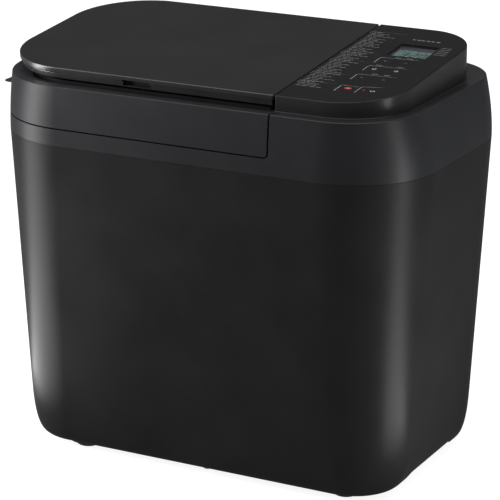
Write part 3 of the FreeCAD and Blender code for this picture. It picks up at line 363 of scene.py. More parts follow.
def edge_section(z, radius, inset=0.0, top=True, steps=4):
    """Quarter round of a section, from the side to the flat or back, with a support loop on the flat."""
    points = []
    for step in range(steps + 1):
        angle = math.radians(90 * step / steps)
        rise = radius * (1 - math.sin(angle))
        points.append((inset + radius * (1 - math.cos(angle)), z - rise if top else z + rise))
    points.append((inset + 2 * radius, z))
    return points if top else points[::-1]


def slab(low, high, left_radius, right_radius, z0, z1, edge=0.3, under=0.15):
    """Flat rounded plate with softened edges."""
    def outline_at(inset):
        inner_low = (low[0] + inset, low[1] + inset)
        inner_high = (high[0] - inset, high[1] - inset)
        return outline(inner_low, inner_high, left_radius - inset, right_radius - inset, corner=8)

    return sweep(outline_at, edge_section(z0, under, top=False, steps=2) + edge_section(z1, edge, steps=3))


def solid_box(low, high):
    corners = ((low[0], low[1]), (high[0], low[1]), (high[0], high[1]), (low[0], high[1]))
    return prism(corners, low[2], high[2])


def rod_x(x0, x1, y, z, radius, steps=32):
    """Round bar along X with softened ends."""
    soft = min(0.4, radius / 3)
    rings = []
    for x, shrink in ((x0, soft), (x0 + soft, 0), (x1 - soft, 0), (x1, soft)):
        ring = []
        for step in range(steps):
            angle = math.tau * step / steps
            reach = radius - shrink
            ring.append(Vector((x, y + reach * math.cos(angle), z + reach * math.sin(angle))))
        rings.append(ring)
    return loft(rings)


def lathe(profile, centre=(0.0, 0.0), steps=64):
    """Solid of revolution about a vertical axis from (radius, z) points, closed along the axis."""
    rings = []
    for radius, z in profile:
        ring = []
        for step in range(steps):
            angle = math.tau * step / steps
            x = centre[0] + radius * math.cos(angle)
            y = centre[1] + radius * math.sin(angle)
            ring.append(Vector((x, y, z)))
        rings.append(ring)
    return loft(rings)


def along_y(points, y0, y1):
    """Prism whose outline is drawn in (x, z) and which runs along Y."""
    rings = [[Vector((x, y, z)) for x, z in points] for y in (y1, y0)]
    return loft(rings)


def merged(meshes):
    """One mesh of several islands."""
    whole = bmesh.new()
    for mesh in meshes:
        data = bpy.data.meshes.new("part")
        mesh.to_mesh(data)
        mesh.free()
        whole.from_mesh(data)
        bpy.data.meshes.remove(data)
    return whole


def carve(base, cutters, operation="DIFFERENCE"):
    """Boolean of a mesh with each cutter in turn."""
    made = []
    for mesh in [base] + list(cutters):
        bmesh.ops.recalc_face_normals(mesh, faces=mesh.faces)
        data = bpy.data.meshes.new("tool")
        mesh.to_mesh(data)
        mesh.free()
        tool = bpy.data.objects.new("tool", data)
        bpy.context.scene.collection.objects.link(tool)
        made.append(tool)
    body = made[0]
    for tool in made[1:]:
        cut = body.modifiers.new("cut", "BOOLEAN")
        cut.operation = operation
        cut.solver = "EXACT"
        cut.object = tool
    result = bmesh.new()
    result.from_object(body, bpy.context.evaluated_depsgraph_get())
    for tool in made:
        data = tool.data
        bpy.data.objects.remove(tool)
        bpy.data.meshes.remove(data)
    return result


def on_top(mesh):
    """Lays a mesh drawn about z = 0 onto the tilted top plane."""
    mesh.transform(Matrix.Translation((0, 0, TOP_Z)) @ Matrix.Rotation(TILT, 4, "X"))
    return mesh


def add_piece(name, mesh, material, body, stands_for=(), edge=0.0, crease=32):
    """Finishes a mesh as a shown piece that rides on a CAD body."""
    bmesh.ops.remove_doubles(mesh, verts=mesh.verts, dist=0.002)
    bmesh.ops.recalc_face_normals(mesh, faces=mesh.faces)
    mesh.transform(Matrix.Scale(MM, 4))
    data = bpy.data.meshes.new(name)
    mesh.to_mesh(data)
    mesh.free()
    data.shade_smooth()
    data.set_sharp_from_angle(angle=math.radians(crease))
    data.materials.append(material)
    piece = bpy.data.objects.new(name, data)
    bpy.context.scene.collection.objects.link(piece)
    if edge:
        bevel = piece.modifiers.new("soft_edge", "BEVEL")
        bevel.width = edge * MM
        bevel.segments = 3
        bevel.limit_method = "ANGLE"
        bevel.angle_limit = math.radians(crease)
        bevel.use_clamp_overlap = True
        bevel.miter_outer = "MITER_ARC"
    normals = piece.modifiers.new("normals", "WEIGHTED_NORMAL")
    normals.keep_sharp = True
    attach(piece, body)
    if stands_for:
        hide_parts(*stands_for)
    return piece


def second_look(piece, material, level=0.75):
    """Gives the faces of a piece that are steeper than level a second material."""
    piece.data.materials.append(material)
    for face in piece.data.polygons:
        if abs(face.normal.z) < level:
            face.material_index = 1


# ---------- materials ----------
def new_material(name):
    material = bpy.data.materials.new(name)
    material.use_nodes = True
    tree = material.node_tree
    tree.nodes.clear()
    shader = tree.nodes.new("ShaderNodeBsdfPrincipled")
    output = tree.nodes.new("ShaderNodeOutputMaterial")
    tree.links.new(shader.outputs["BSDF"], output.inputs["Surface"])
    return material, tree, shader


def noise(tree, size, stretch=(1, 1, 1), detail=3.0, roughness=0.55):
    """Noise in object space whose features are about size mm across, drawn out along an axis by stretch."""
    place = tree.nodes.new("ShaderNodeTexCoord")
    mapping = tree.nodes.new("ShaderNodeMapping")
    mapping.inputs["Scale"].default_value = [1 / (size * MM * s) for s in stretch]
    texture = tree.nodes.new("ShaderNodeTexNoise")
    texture.inputs["Scale"].default_value = 1.0
    texture.inputs["Detail"].default_value = detail
    texture.inputs["Roughness"].default_value = roughness
    tree.links.new(place.outputs["Object"], mapping.inputs["Vector"])
    tree.links.new(mapping.outputs["Vector"], texture.inputs["Vector"])
    return texture.outputs["Fac"]


def ranged(tree, value, low, high, start=0.3, end=0.7):
    """Maps start..end of a texture onto low..high."""
    node = tree.nodes.new("ShaderNodeMapRange")
    node.inputs["From Min"].default_value = start
    node.inputs["From Max"].default_value = end
    node.inputs["To Min"].default_value = low
    node.inputs["To Max"].default_value = high
    tree.links.new(value, node.inputs["Value"])
    return node.outputs["Result"]


def blended(tree, share, first, second):
    """Colour between two constants by a texture."""
    node = tree.nodes.new("ShaderNodeMix")
    node.data_type = "RGBA"
    node.inputs["A"].default_value = (*first, 1)
    node.inputs["B"].default_value = (*second, 1)
    tree.links.new(share, node.inputs["Factor"])
    return node.outputs["Result"]


def bumped(tree, shader, height, depth, strength=1.0):
    node = tree.nodes.new("ShaderNodeBump")
    node.inputs["Strength"].default_value = strength
    node.inputs["Distance"].default_value = depth * MM
    tree.links.new(height, node.inputs["Height"])
    tree.links.new(node.outputs["Normal"], shader.inputs["Normal"])


def plastic(name, color, roughness, specular=0.5, grain=0.5, depth=0.01, spread=0.05, coat=0.0):
    """Moulded plastic: fine grain in the surface, and slow changes of gloss and tone."""
    material, tree, shader = new_material(name)
    shader.inputs["Specular IOR Level"].default_value = specular
    shader.inputs["Coat Weight"].default_value = coat
    shader.inputs["Coat Roughness"].default_value = 0.12
    slow = noise(tree, 60.0, detail=4.0)
    fine = noise(tree, grain, detail=2.0)
    dark = [c * 0.86 for c in color]
    light = [c * 1.14 for c in color]
    tree.links.new(blended(tree, ranged(tree, slow, 0, 1), dark, light), shader.inputs["Base Color"])
    rough = ranged(tree, slow, roughness - spread / 2, roughness + spread / 2)
    tree.links.new(rough, shader.inputs["Roughness"])
    bumped(tree, shader, fine, depth)
    return material


def metal(name, color, roughness, grain=0.5, stretch=(1, 1, 1), depth=0.004, stain=0.85, spread=0.12):
    """Bare metal with drawn-out scratches and slow staining."""
    material, tree, shader = new_material(name)
    shader.inputs["Metallic"].default_value = 1.0
    slow = noise(tree, 35.0, detail=5.0)
    lines = noise(tree, grain, stretch=stretch, detail=3.0)
    worn = [c * stain for c in color]
    tree.links.new(blended(tree, ranged(tree, slow, 0, 1), worn, color), shader.inputs["Base Color"])
    rough = ranged(tree, lines, roughness - spread / 2, roughness + spread / 2)
    tree.links.new(rough, shader.inputs["Roughness"])
    bumped(tree, shader, lines, depth)
    return material


def flecked(name, color, fleck, roughness, size, share):
    """Non-stick coating: a dark base with small pale flecks."""
    material, tree, shader = new_material(name)
    shader.inputs["Specular IOR Level"].default_value = 0.55
    place = tree.nodes.new("ShaderNodeTexCoord")
    cells = tree.nodes.new("ShaderNodeTexVoronoi")
    cells.inputs["Scale"].default_value = 1 / (size * MM)
    tree.links.new(place.outputs["Object"], cells.inputs["Vector"])
    spots = ranged(tree, cells.outputs["Distance"], 1, 0, share, share + 0.06)
    tree.links.new(blended(tree, spots, color, fleck), shader.inputs["Base Color"])
    fine = noise(tree, 0.7)
    tree.links.new(ranged(tree, fine, roughness - 0.05, roughness + 0.07), shader.inputs["Roughness"])
    bumped(tree, shader, fine, 0.02)
    return material


def clear_film(name, tint, roughness):
    """Thin clear window: what lies below shows through, with a gloss that grows at low angles."""
    material = bpy.data.materials.new(name)
    material.use_nodes = True
    tree = material.node_tree
    tree.nodes.clear()
    through = tree.nodes.new("ShaderNodeBsdfTransparent")
    gloss = tree.nodes.new("ShaderNodeBsdfGlossy")
    facing = tree.nodes.new("ShaderNodeLayerWeight")
    mix = tree.nodes.new("ShaderNodeMixShader")
    output = tree.nodes.new("ShaderNodeOutputMaterial")
    facing.inputs["Blend"].default_value = 0.5
    haze = noise(tree, 9.0, detail=5.0)
    tree.links.new(ranged(tree, haze, roughness, roughness + 0.05), gloss.inputs["Roughness"])
    pale = [min(1.0, t * 1.03) for t in tint]
    tree.links.new(blended(tree, haze, tint, pale), through.inputs["Color"])
    sheen = ranged(tree, facing.outputs["Facing"], 0.02, 0.12, 0.3, 1.0)
    tree.links.new(sheen, mix.inputs["Fac"])
    tree.links.new(through.outputs["BSDF"], mix.inputs[1])
    tree.links.new(gloss.outputs["BSDF"], mix.inputs[2])
    tree.links.new(mix.outputs["Shader"], output.inputs["Surface"])
    return material


def ink(name, color, roughness=0.5):
    """Printed mark: slightly uneven ink."""
    material, tree, shader = new_material(name)
    shader.inputs["Specular IOR Level"].default_value = 0.3
    patch = noise(tree, 1.6, detail=4.0)
    faded = [c * 0.8 for c in color]
    tree.links.new(blended(tree, ranged(tree, patch, 0, 1), faded, color), shader.inputs["Base Color"])
    tree.links.new(ranged(tree, patch, roughness - 0.05, roughness + 0.05), shader.inputs["Roughness"])
    return material


CASE = plastic("case_satin", (0.0094, 0.0094, 0.0096), 0.37, specular=0.075, grain=0.45, depth=0.006)
BAND = plastic("band_satin", (0.0106, 0.0109, 0.0120), 0.38, specular=0.18, grain=0.45, depth=0.006)
COVER = plastic("cover_satin", (0.0100, 0.0100, 0.0102), 0.36, specular=0.10, grain=0.35, depth=0.004)
COVER_SIDE = plastic("cover_side_gloss", (0.0160, 0.0155, 0.0175), 0.27, specular=0.8, grain=0.35,
                     depth=0.003)
PANEL = plastic("panel_film", (0.0062, 0.0062, 0.0064), 0.33, specular=0.06, grain=0.3, depth=0.003)
# Pod sides: a glossier plastic than the film, and a base colour about three times lighter than the pod's
# top. The extra lightness is painted light that makes up for the shade on the recessed sides; the gloss is
# real.
POD_SIDE_PAINTED_LIGHTER = plastic("pod_side_painted_lighter", (0.0200, 0.0200, 0.0200), 0.28, specular=0.16, grain=0.35, depth=0.004)
BASE = plastic("base_moulding", (0.013, 0.013, 0.013), 0.6, specular=0.3, grain=0.8, depth=0.02)
RUBBER = plastic("foot_rubber", (0.014, 0.014, 0.014), 0.75, specular=0.3, grain=0.6, depth=0.03)
SEAL = plastic("silicone", (0.17, 0.17, 0.17), 0.55, specular=0.4, grain=0.8, depth=0.015)
SMOKE = plastic("dispenser_plastic", (0.045, 0.046, 0.05), 0.25, specular=0.5, grain=0.6, depth=0.004)
PULLEY = plastic("pulley_nylon", (0.62, 0.6, 0.55), 0.5, grain=0.8, depth=0.01)
BELT = plastic("belt_rubber", (0.016, 0.016, 0.017), 0.7, specular=0.3, grain=0.5, depth=0.03)
COIL = plastic("coil_tape", (0.33, 0.07, 0.03), 0.45, grain=0.5, depth=0.02)
BOARD = plastic("solder_mask", (0.015, 0.09, 0.04), 0.4, grain=1.2, depth=0.02, coat=0.3)
ZINC = metal("zinc_plate", (0.56, 0.56, 0.55), 0.34, grain=0.7)
STEEL = metal("aluminised_sheet", (0.60, 0.60, 0.59), 0.36, grain=0.35, stretch=(1, 1, 30))
SHEATH = metal("heater_sheath", (0.22, 0.19, 0.17), 0.45, grain=0.6, stain=0.6)
SHAFT = metal("ground_shaft", (0.66, 0.66, 0.66), 0.2, grain=0.15, stretch=(30, 30, 1))
BRONZE = metal("sintered_bronze", (0.52, 0.36, 0.18), 0.4, grain=0.3, stain=0.7)
CAST = metal("die_casting", (0.5, 0.5, 0.51), 0.42, grain=0.5, depth=0.02)
CAN = metal("motor_can", (0.42, 0.43, 0.44), 0.38, grain=0.6, stretch=(1, 1, 12))
WIRE = metal("bright_wire", (0.72, 0.72, 0.73), 0.12, grain=0.2, stretch=(12, 1, 1), spread=0.06)
LINER = metal("satin_aluminium", (0.70, 0.70, 0.71), 0.33, grain=0.25, stretch=(60, 1, 1), depth=0.003)
COATING = flecked("pan_coating", (0.028, 0.028, 0.03), (0.13, 0.13, 0.135), 0.38, 1.5, 0.16)
GLASS = clear_film("display_window", (0.78, 0.8, 0.8), 0.05)
CELL = plastic("display_bezel", (0.075, 0.068, 0.085), 0.4, grain=0.4, depth=0.004)
ACTIVE = plastic("display_active", (0.20, 0.29, 0.27), 0.45, grain=0.4, depth=0.003)
SEGMENTS = ink("display_segments", (0.03, 0.04, 0.045))
PRINT = ink("print_grey", (0.30, 0.30, 0.31))
PRINT_DIM = ink("print_dim", (0.12, 0.12, 0.125))
PRINT_BRIGHT = ink("print_white", (0.48, 0.48, 0.49))
PRINT_RED = ink("print_red", (0.33, 0.022, 0.045))
PRINT_DULL_RED = ink("print_dull_red", (0.16, 0.045, 0.045))
PRINT_PINK = ink("print_pink", (0.45, 0.16, 0.18))


# ---------- lower case ----------
def lower_inset(z):
    inset = TAPER * (SEAM_Z - z)
    share = min(1.0, (BOTTOM_Z + CURL_HEIGHT - z) / CURL_HEIGHT)
    if share > 0:
        inset += CURL_INSET * (1 - (1 - share ** CURL_POWER) ** (1 / CURL_POWER))
    return inset


def arch_lift(y):
    """Height of the hand-hold's arch above the bottom edge."""
    share = (HOLD_FLAT + HOLD_RUN - abs(y)) / HOLD_RUN
    share = min(1.0, max(0.0, share))
    return HOLD_RISE * share * share * (3 - 2 * share)


def case_ring(z, skin):
    """Outline of the case, with its lowest rows lifted over the hand-holds."""
    inset = lower_inset(z) + skin
    shrink = CORNER_SHRINK * lower_inset(z) + skin
    low = (LEFT + inset, -HALF_DEPTH + inset)
    high = (RIGHT - inset, HALF_DEPTH - inset)
    ring = outline(low, high, CORNER_LEFT - shrink, CORNER_RIGHT - shrink, z, CORNER_STEPS, CASE_SPLITS)
    top = BOTTOM_Z + CURL_HEIGHT
    if z < top:
        for point in ring:
            on_right = abs(point.x - high[0]) < TOUCH
            on_left = abs(point.x - low[0]) < TOUCH
            if on_right or on_left:
                point.z += arch_lift(point.y) * (top - z) / CURL_HEIGHT
                moved = lower_inset(point.z) + skin
                point.x = RIGHT - moved if on_right else LEFT + moved
    return ring


def rounded_slot(x0, x1, z0, z1, y0, y1):
    points = outline((x0, z0), (x1, z1), VENT_RADIUS, VENT_RADIUS, corner=6)
    return along_y([(p.x, p.y) for p in points], y0, y1)


def rear_cuts():
    cuts = []
    for start, z in VENT_GROUPS:
        for index in range(VENT_SLOTS):
            x = start + index * VENT_PITCH
            cuts.append(rounded_slot(x, x + VENT_SIZE[0], z, z + VENT_SIZE[1], *REAR_CUT_Y))
    low, high = span("cord_gland")
    centre = (low + high) / 2
    hole = []
    steps = 40
    for step in range(steps):
        angle = math.tau * step / steps
        hole.append((centre.x + GLAND_HOLE_RADIUS * math.cos(angle),
                     centre.z + GLAND_HOLE_RADIUS * math.sin(angle)))
    cuts.append(along_y(hole, *REAR_CUT_Y))
    return merged(cuts)


def case_shell():
    heights = []
    for step in range(CURL_STEPS):
        share = math.cos(math.radians(90 * step / CURL_STEPS)) ** (2 / CURL_POWER)
        heights.append(BOTTOM_Z + CURL_HEIGHT * (1 - share))
    top = BOTTOM_Z + CURL_HEIGHT
    for step in range(SIDE_STEPS + 1):
        heights.append(top + (SEAM_Z + CASE_EDGE[0][0] - top) * step / SIDE_STEPS)
    rings = [case_ring(z, 0.0) for z in heights]
    for rise, skin in CASE_EDGE[1:]:
        rings.append(case_ring(SEAM_Z + rise, skin))
    for z in (SEAM_Z, SEAM_Z - 10, INNER_MIDDLE, top, *INNER_LEVELS, BOTTOM_Z):
        rings.append(case_ring(z, WALL))
    shell = carve(loft(rings, loop=True), [rear_cuts()])
    add_piece("case_shell", shell, CASE, "housing", ["outer_case"])


# ---------- upper band and lid ----------
def upper_ring(z, skin):
    share = ((z - SEAM_Z) / (RIM_Z - SEAM_Z)) ** 2
    depth = HALF_DEPTH - RIM_INSET * share - skin
    low = (LEFT + RIM_INSET * share + skin, -depth)
    high = (RIGHT - RIM_INSET_RIGHT * share - skin, depth)
    left_radius = CORNER_LEFT - RIM_INSET * share - skin
    right_radius = CORNER_RIGHT - RIM_RADIUS_LOSS * share - skin
    return outline(low, high, left_radius, right_radius, z, CORNER_STEPS, BAND_SPLITS)


def upper_volume(bottom, top, skin, stages=8, soft=0.0):
    """Volume within the band, its upper edge rounded by soft."""
    rings = []
    for step in range(stages + 1):
        rings.append(upper_ring(bottom + (top - soft - bottom) * step / stages, skin))
    if soft:
        for step in range(1, SOFT_STEPS + 1):
            angle = math.radians(90 * step / SOFT_STEPS)
            inset = skin + soft * (1 - math.cos(angle))
            rings.append(upper_ring(top - soft * (1 - math.sin(angle)), inset))
    return loft(rings)


def above_ledge(drop=0.0):
    """Space over the ledge that slopes down inwards from the rim, lowered by drop."""
    low = (LEDGE_INNER_LEFT, -TOP_HALF_DEPTH)
    high = (POD_HIGH.x, TOP_HALF_DEPTH)
    foot = outline(low, high, LEDGE_INNER_RADIUS, POD_RADIUS, LEDGE_FOOT_Z, CORNER_STEPS, BAND_SPLITS,
                   rear_right=POD_REAR_RADIUS)
    rim = upper_ring(RIM_Z, RIM_FACE)
    top = [point + Vector((0, 0, 15)) for point in rim]
    mesh = loft([foot, rim, top])
    mesh.transform(Matrix.Translation((0, 0, -drop)))
    return mesh


def tab_corner(margin, bottom):
    """What the rounded lower corner of the lid's front tab leaves out, grown by margin."""
    radius = TAB_RADIUS + margin
    x = SPLIT_FRONT_X - TAB_RADIUS
    points = [(x, bottom - 1), (x + radius + 1, bottom - 1), (x + radius + 1, bottom + radius)]
    steps = 10
    for step in range(steps + 1):
        angle = math.radians(-90 * step / steps)
        points.append((x + radius * math.cos(angle), bottom + radius + radius * math.sin(angle)))
    return along_y(points, -BEYOND, SPLIT_FRONT_Y + 2)


def lid_plan(margin, z0, z1):
    """The lid's share of the plan, grown by margin."""
    right = SPLIT_X + margin
    front_right = SPLIT_FRONT_X + margin
    step_y = SPLIT_FRONT_Y + margin
    rear = SPLIT_REAR_Y + margin
    return prism(((-BEYOND, -BEYOND), (front_right, -BEYOND), (front_right, step_y),
                  (right, step_y), (right, rear), (-BEYOND, rear)), z0, z1)


def oven_prism(z0, z1):
    low = (OVEN_X - OVEN_HALF_WIDTH, -OVEN_HALF_DEPTH)
    high = (OVEN_X + OVEN_HALF_WIDTH, OVEN_HALF_DEPTH)
    return prism(outline(low, high, OVEN_RADIUS, OVEN_RADIUS, corner=12), z0, z1)


def pod_outline(skin):
    low = (POD_LOW.x + skin, -TOP_HALF_DEPTH + skin)
    high = (POD_HIGH.x - skin, TOP_HALF_DEPTH - skin)
    return outline(low, high, SQUARE_CORNER - skin, POD_RADIUS - skin, corner=CORNER_STEPS,
                   rear_right=POD_REAR_RADIUS - skin)


def band_shell():
    under = carve(upper_volume(SEAM_Z - 1, RIM_Z - LEDGE_THICK, WALL),
                  [above_ledge(LEDGE_THICK), lid_plan(GAP / 2 + WALL, DECK_Z - DECK_THICK, RIM_Z + 5)])
    cavity = carve(lid_plan(GAP / 2, DECK_Z, RIM_Z + 5), [tab_corner(GAP / 2, DECK_Z)])
    pod_hole = prism(pod_outline(POD_HOLE_INSET), LEDGE_FOOT_Z - 10, LEDGE_FOOT_Z + 10)
    oven_hole = oven_prism(DECK_Z - 10, DECK_Z + 5)
    band = carve(upper_volume(SEAM_Z, RIM_Z, 0.0, soft=RIM_ROUND),
                 [cavity, under, above_ledge(), oven_hole, pod_hole])
    add_piece("band_shell", band, BAND, "housing", ["upper_band"], edge=BAND_EDGE)


def hinge_arms():
    """The lid's two rear arms, each with its barrel round the hinge pin."""
    y, z = LID_AXIS
    profile = ((ARM_FRONT, LEDGE_UNDER_Z), (ARM_BACK, LEDGE_UNDER_Z), (ARM_BACK, z - ARM_BELOW),
               (y, z - ARM_BELOW), (y, z + ARM_ABOVE), (ARM_FRONT, z + ARM_ABOVE))
    arms = []
    for x in LID_HINGES_X:
        ends = (x - ARM_HALF, x + ARM_HALF)
        arms.append(loft([[Vector((end, py, pz)) for py, pz in profile] for end in ends]))
        arms.append(rod_x(*ends, y, z, ARM_RADIUS))
    return arms


def lid_skirt():
    plan = lid_plan(-GAP / 2, LID_BOTTOM_Z - 5, RIM_Z + 5)
    skirt = carve(upper_volume(LID_BOTTOM_Z, RIM_Z, 0.0, soft=RIM_ROUND), [plan], "INTERSECT")
    hollow = carve(upper_volume(LID_BOTTOM_Z - 1, LEDGE_UNDER_Z, WALL),
                   [lid_plan(-GAP / 2 - WALL, LID_BOTTOM_Z - 5, RIM_Z)], "INTERSECT")
    mouth = outline((LEDGE_INNER_LEFT, -TOP_HALF_DEPTH), (SPLIT_X - 3, LEDGE_MOUTH_REAR),
                    LEDGE_INNER_RADIUS, SQUARE_CORNER, corner=CORNER_STEPS)
    opening = prism(mouth, LEDGE_UNDER_Z - 6, RIM_Z + 5)
    outlets = []
    for index in range(STEAM_COUNT):
        along = Vector((0, STEAM_PITCH * index, 0))
        outlets.append(solid_box(STEAM_LOW + along, STEAM_HIGH + along))
    corner = tab_corner(-GAP / 2, LID_BOTTOM_Z)
    skirt = carve(skirt, [corner, hollow, above_ledge(), opening, merged(outlets)])
    add_piece("lid_skirt", merged([skirt] + hinge_arms()), BAND, "lid", ["lid_frame"],
              edge=BAND_EDGE)


def steam_hood():
    """Long wedge over the steam outlet, thinning outwards to a narrow edge."""
    middle = (HOOD_LOW.z + HOOD_HIGH.z) / 2

    def outline_at(inset):
        low = (HOOD_LOW.x + inset, HOOD_LOW.y + inset)
        high = (HOOD_HIGH.x, HOOD_HIGH.y - inset)
        return outline(low, high, HOOD_RADIUS - inset, HOOD_INNER_RADIUS, corner=10)

    below = [(HOOD_SLOPE, HOOD_LOW.z)] + [(inset, middle - rise) for inset, rise in HOOD_NOSE]
    above = [(inset, middle + rise) for inset, rise in reversed(HOOD_NOSE)] + [(HOOD_SLOPE, HOOD_HIGH.z)]
    hood = sweep(outline_at, below + [(0, middle)] + above)
    add_piece("steam_hood", hood, BAND, "lid", ["steam_vent_hood"], crease=60)


# ---------- dispenser cover ----------
def cover_outline(inset):
    low = (COVER_LOW.x + inset, -TOP_DEPTH + inset)
    high = (COVER_HIGH.x - inset, TOP_DEPTH - inset)
    return outline(low, high, COVER_RADIUS - inset, SQUARE_CORNER - inset, corner=32, runs=COVER_SPLITS)


def notch(depth, z0, z1):
    """Cutter for the finger notch in the cover's front edge."""
    half = NOTCH_WIDTH / 2
    low = (NOTCH_X - half, -BEYOND)
    high = (NOTCH_X + half, -TOP_DEPTH + depth)
    return prism(outline(low, high, NOTCH_RADIUS, NOTCH_RADIUS, corner=6), z0, z1)


def cover_plate():
    wall, roof, level = PLATE_HOLLOW
    section = [(roof, level), (wall, level), (wall, -COVER_THICK)]
    section += edge_section(-COVER_THICK, 0.5, top=False)[1:]
    section += edge_section(0.0, COVER_EDGE, steps=5)
    plate = carve(sweep(cover_outline, section), [notch(NOTCH_DEPTH, -COVER_THICK - 1, NOTCH_TOP)])
    plate = add_piece("cover_plate", on_top(plate), COVER, "top_cover", ["dispenser_lid"])
    second_look(plate, COVER_SIDE)


def cover_layer():
    """Second layer of the dispenser cover, with its hinge knuckles."""
    wall, roof, rise = LAYER_HOLLOW
    section = [(roof, LAYER_BOTTOM + rise), (wall, LAYER_BOTTOM + rise), (wall, LAYER_BOTTOM)]
    section += edge_section(LAYER_BOTTOM, LAYER_EDGE, inset=LAYER_INSET, top=False)[1:]
    section += edge_section(LAYER_TOP, LAYER_EDGE, inset=LAYER_INSET)
    section += [(LAYER_STEP, LAYER_TOP), (LAYER_STEP, -COVER_THICK), (PLATE_HOLLOW[1], -COVER_THICK)]
    cut = notch(LAYER_NOTCH_DEPTH, LAYER_BOTTOM + NOTCH_LIP, 0)
    layer = on_top(carve(sweep(cover_outline, section), [cut]))
    half, front, back, foot, top = COVER_GAP
    gaps = [solid_box((x - half, front, foot), (x + half, back, top)) for x in COVER_HINGES_X]
    layer = carve(layer, [merged(gaps)])
    y, z = COVER_AXIS
    knuckles = []
    for x in COVER_HINGES_X:
        x0 = x - KNUCKLE_HALF
        x1 = x + KNUCKLE_HALF
        knuckles.append(solid_box((x0, KNUCKLE_FRONT, z - KNUCKLE_BELOW),
                                  (x1, y + KNUCKLE_BEHIND, z + KNUCKLE_ABOVE)))
        knuckles.append(rod_x(x0, x1, y, z, KNUCKLE_RADIUS, steps=20))
    layer = merged([layer] + knuckles)
    add_piece("cover_layer", layer, COVER_SIDE, "top_cover", ["dispenser_lid_liner"])


# ---------- control pod ----------
def pod_shell():
    """Pod with a soft upper edge, a lip round the film and a ledge under it."""
    rings = []

    def at(skin, drop=None, z=None):
        ring = []
        for point in pod_outline(skin):
            height = z if z is not None else TOP_Z + TOP_SLOPE * point.y - drop
            ring.append(Vector((point.x, point.y, height)))
        rings.append(ring)

    at(WALL, z=LEDGE_FOOT_Z)
    for skin, rise in POD_FOOT:
        at(skin, z=LEDGE_FOOT_Z + rise)
    at(0.0, drop=2.0)
    for step in range(SOFT_STEPS + 1):
        angle = math.radians(90 * step / SOFT_STEPS)
        at(POD_SOFT * (1 - math.cos(angle)), drop=POD_SOFT * (1 - math.sin(angle)))
    for skin, drop in POD_LIP:
        at(skin, drop=drop)
    at(POD_LIP[-1][0], drop=FILM)
    at(POD_SHELF, drop=FILM)
    at(POD_SHELF, drop=FILM + POD_SHELF_THICK)
    at(WALL, drop=FILM + POD_SHELF_THICK)
    pod = add_piece("pod_shell", loft(rings, loop=True), PANEL, "housing", ["control_pod"])
    # Faces steeper than the level get the pod-side material: their lighter colour is painted light on the
    # sides, and their extra gloss is real.
    second_look(pod, POD_SIDE_PAINTED_LIGHTER)


def key_box(name, grow=0.0):
    """Lowest and highest corner of a key on the top plane."""
    column, row = KEYS[name]
    x = KEY_COLUMNS[column]
    y = KEY_ROWS[row] / TILT_COS
    half_x = KEY_SIZE[0] / 2 + grow
    half_y = KEY_SIZE[1] / 2 + grow
    return (x - half_x, y - half_y), (x + half_x, y + half_y)


def key_centre(name):
    low, high = key_box(name)
    return (low[0] + high[0]) / 2, (low[1] + high[1]) / 2


def panel_film():
    def outline_at(inset):
        low = (POD_LOW.x + FILM_INSET + inset, -TOP_DEPTH + FILM_INSET + inset)
        high = (POD_HIGH.x - FILM_INSET - inset, TOP_DEPTH - FILM_INSET - inset)
        radius = POD_RADIUS - FILM_INSET - inset
        rear = POD_REAR_RADIUS - FILM_INSET - inset
        return outline(low, high, FILM_RADIUS - inset, radius, corner=CORNER_STEPS, runs=(4, 4, 4, 4),
                       rear_right=rear)

    film = sweep(outline_at, FILM_EDGE)
    holes = []
    for name in KEYS:
        low, high = key_box(name, KEY_GAP)
        holes.append(prism(outline(low, high, HOLE_RADIUS, HOLE_RADIUS, corner=6), -3, 3))
    low = (LCD_LOW[0] - KEY_GAP, LCD_LOW[1] / TILT_COS - KEY_GAP)
    high = (LCD_HIGH[0] + KEY_GAP, LCD_HIGH[1] / TILT_COS + KEY_GAP)
    holes.append(prism(outline(low, high, LCD_RADIUS, LCD_RADIUS, corner=6), -3, 3))
    film = carve(film, [merged(holes)])
    add_piece("panel_film", on_top(film), PANEL, "housing", ["panel_fascia"])


def key_caps():
    over, foot, top = KEY_FLANGE
    radius, end = KEY_STEM
    for name in KEYS:
        low, high = key_box(name)
        cap = slab(low, high, KEY_RADIUS, KEY_RADIUS, KEY_FOOT, KEY_RAISE, edge=0.12)
        flange = solid_box((low[0] - over, low[1] - over, foot), (high[0] + over, high[1] + over, top))
        stem = lathe([(radius, end), (radius, foot)], key_centre(name), 20)
        add_piece(name.replace("_key", "_cap"), on_top(merged([cap, flange, stem])), PANEL, name,
                  [name])


# ---------- printed marks ----------
def bar(x0, y0, x1, y1, z=0.0):
    """Flat printed rectangle on the tilted plane."""
    return prism(((x0, y0), (x1, y0), (x1, y1), (x0, y1)), z + INK_FOOT, z + INK)


def stroke(points, width, end_width=None, z=0.0):
    """Printed line through points, tapering to end_width."""
    if end_width is None:
        end_width = width
    left = []
    right = []
    for index, point in enumerate(points):
        before = Vector(points[max(index - 1, 0)])
        after = Vector(points[min(index + 1, len(points) - 1)])
        along = (after - before).normalized()
        share = index / (len(points) - 1)
        half = (width + (end_width - width) * share) / 2
        across = Vector((-along.y, along.x)) * half
        left.append(Vector(point) + across)
        right.append(Vector(point) - across)
    return prism(right + left[::-1], z + INK_FOOT, z + INK)


def bent(foot, corner, end, radius, steps=6):
    """Points from foot to corner to end, rounded at the corner, then on in even steps."""
    foot = Vector(foot)
    corner = Vector(corner)
    end = Vector(end)
    entry = corner + (foot - corner).normalized() * radius
    leave = corner + (end - corner).normalized() * radius
    points = [foot.lerp(entry, step / 3) for step in range(3)]
    for step in range(steps + 1):
        share = step / steps
        points.append(entry.lerp(corner, share).lerp(corner.lerp(leave, share), share))
    points += [leave.lerp(end, step / 8) for step in range(1, 9)]
    return points


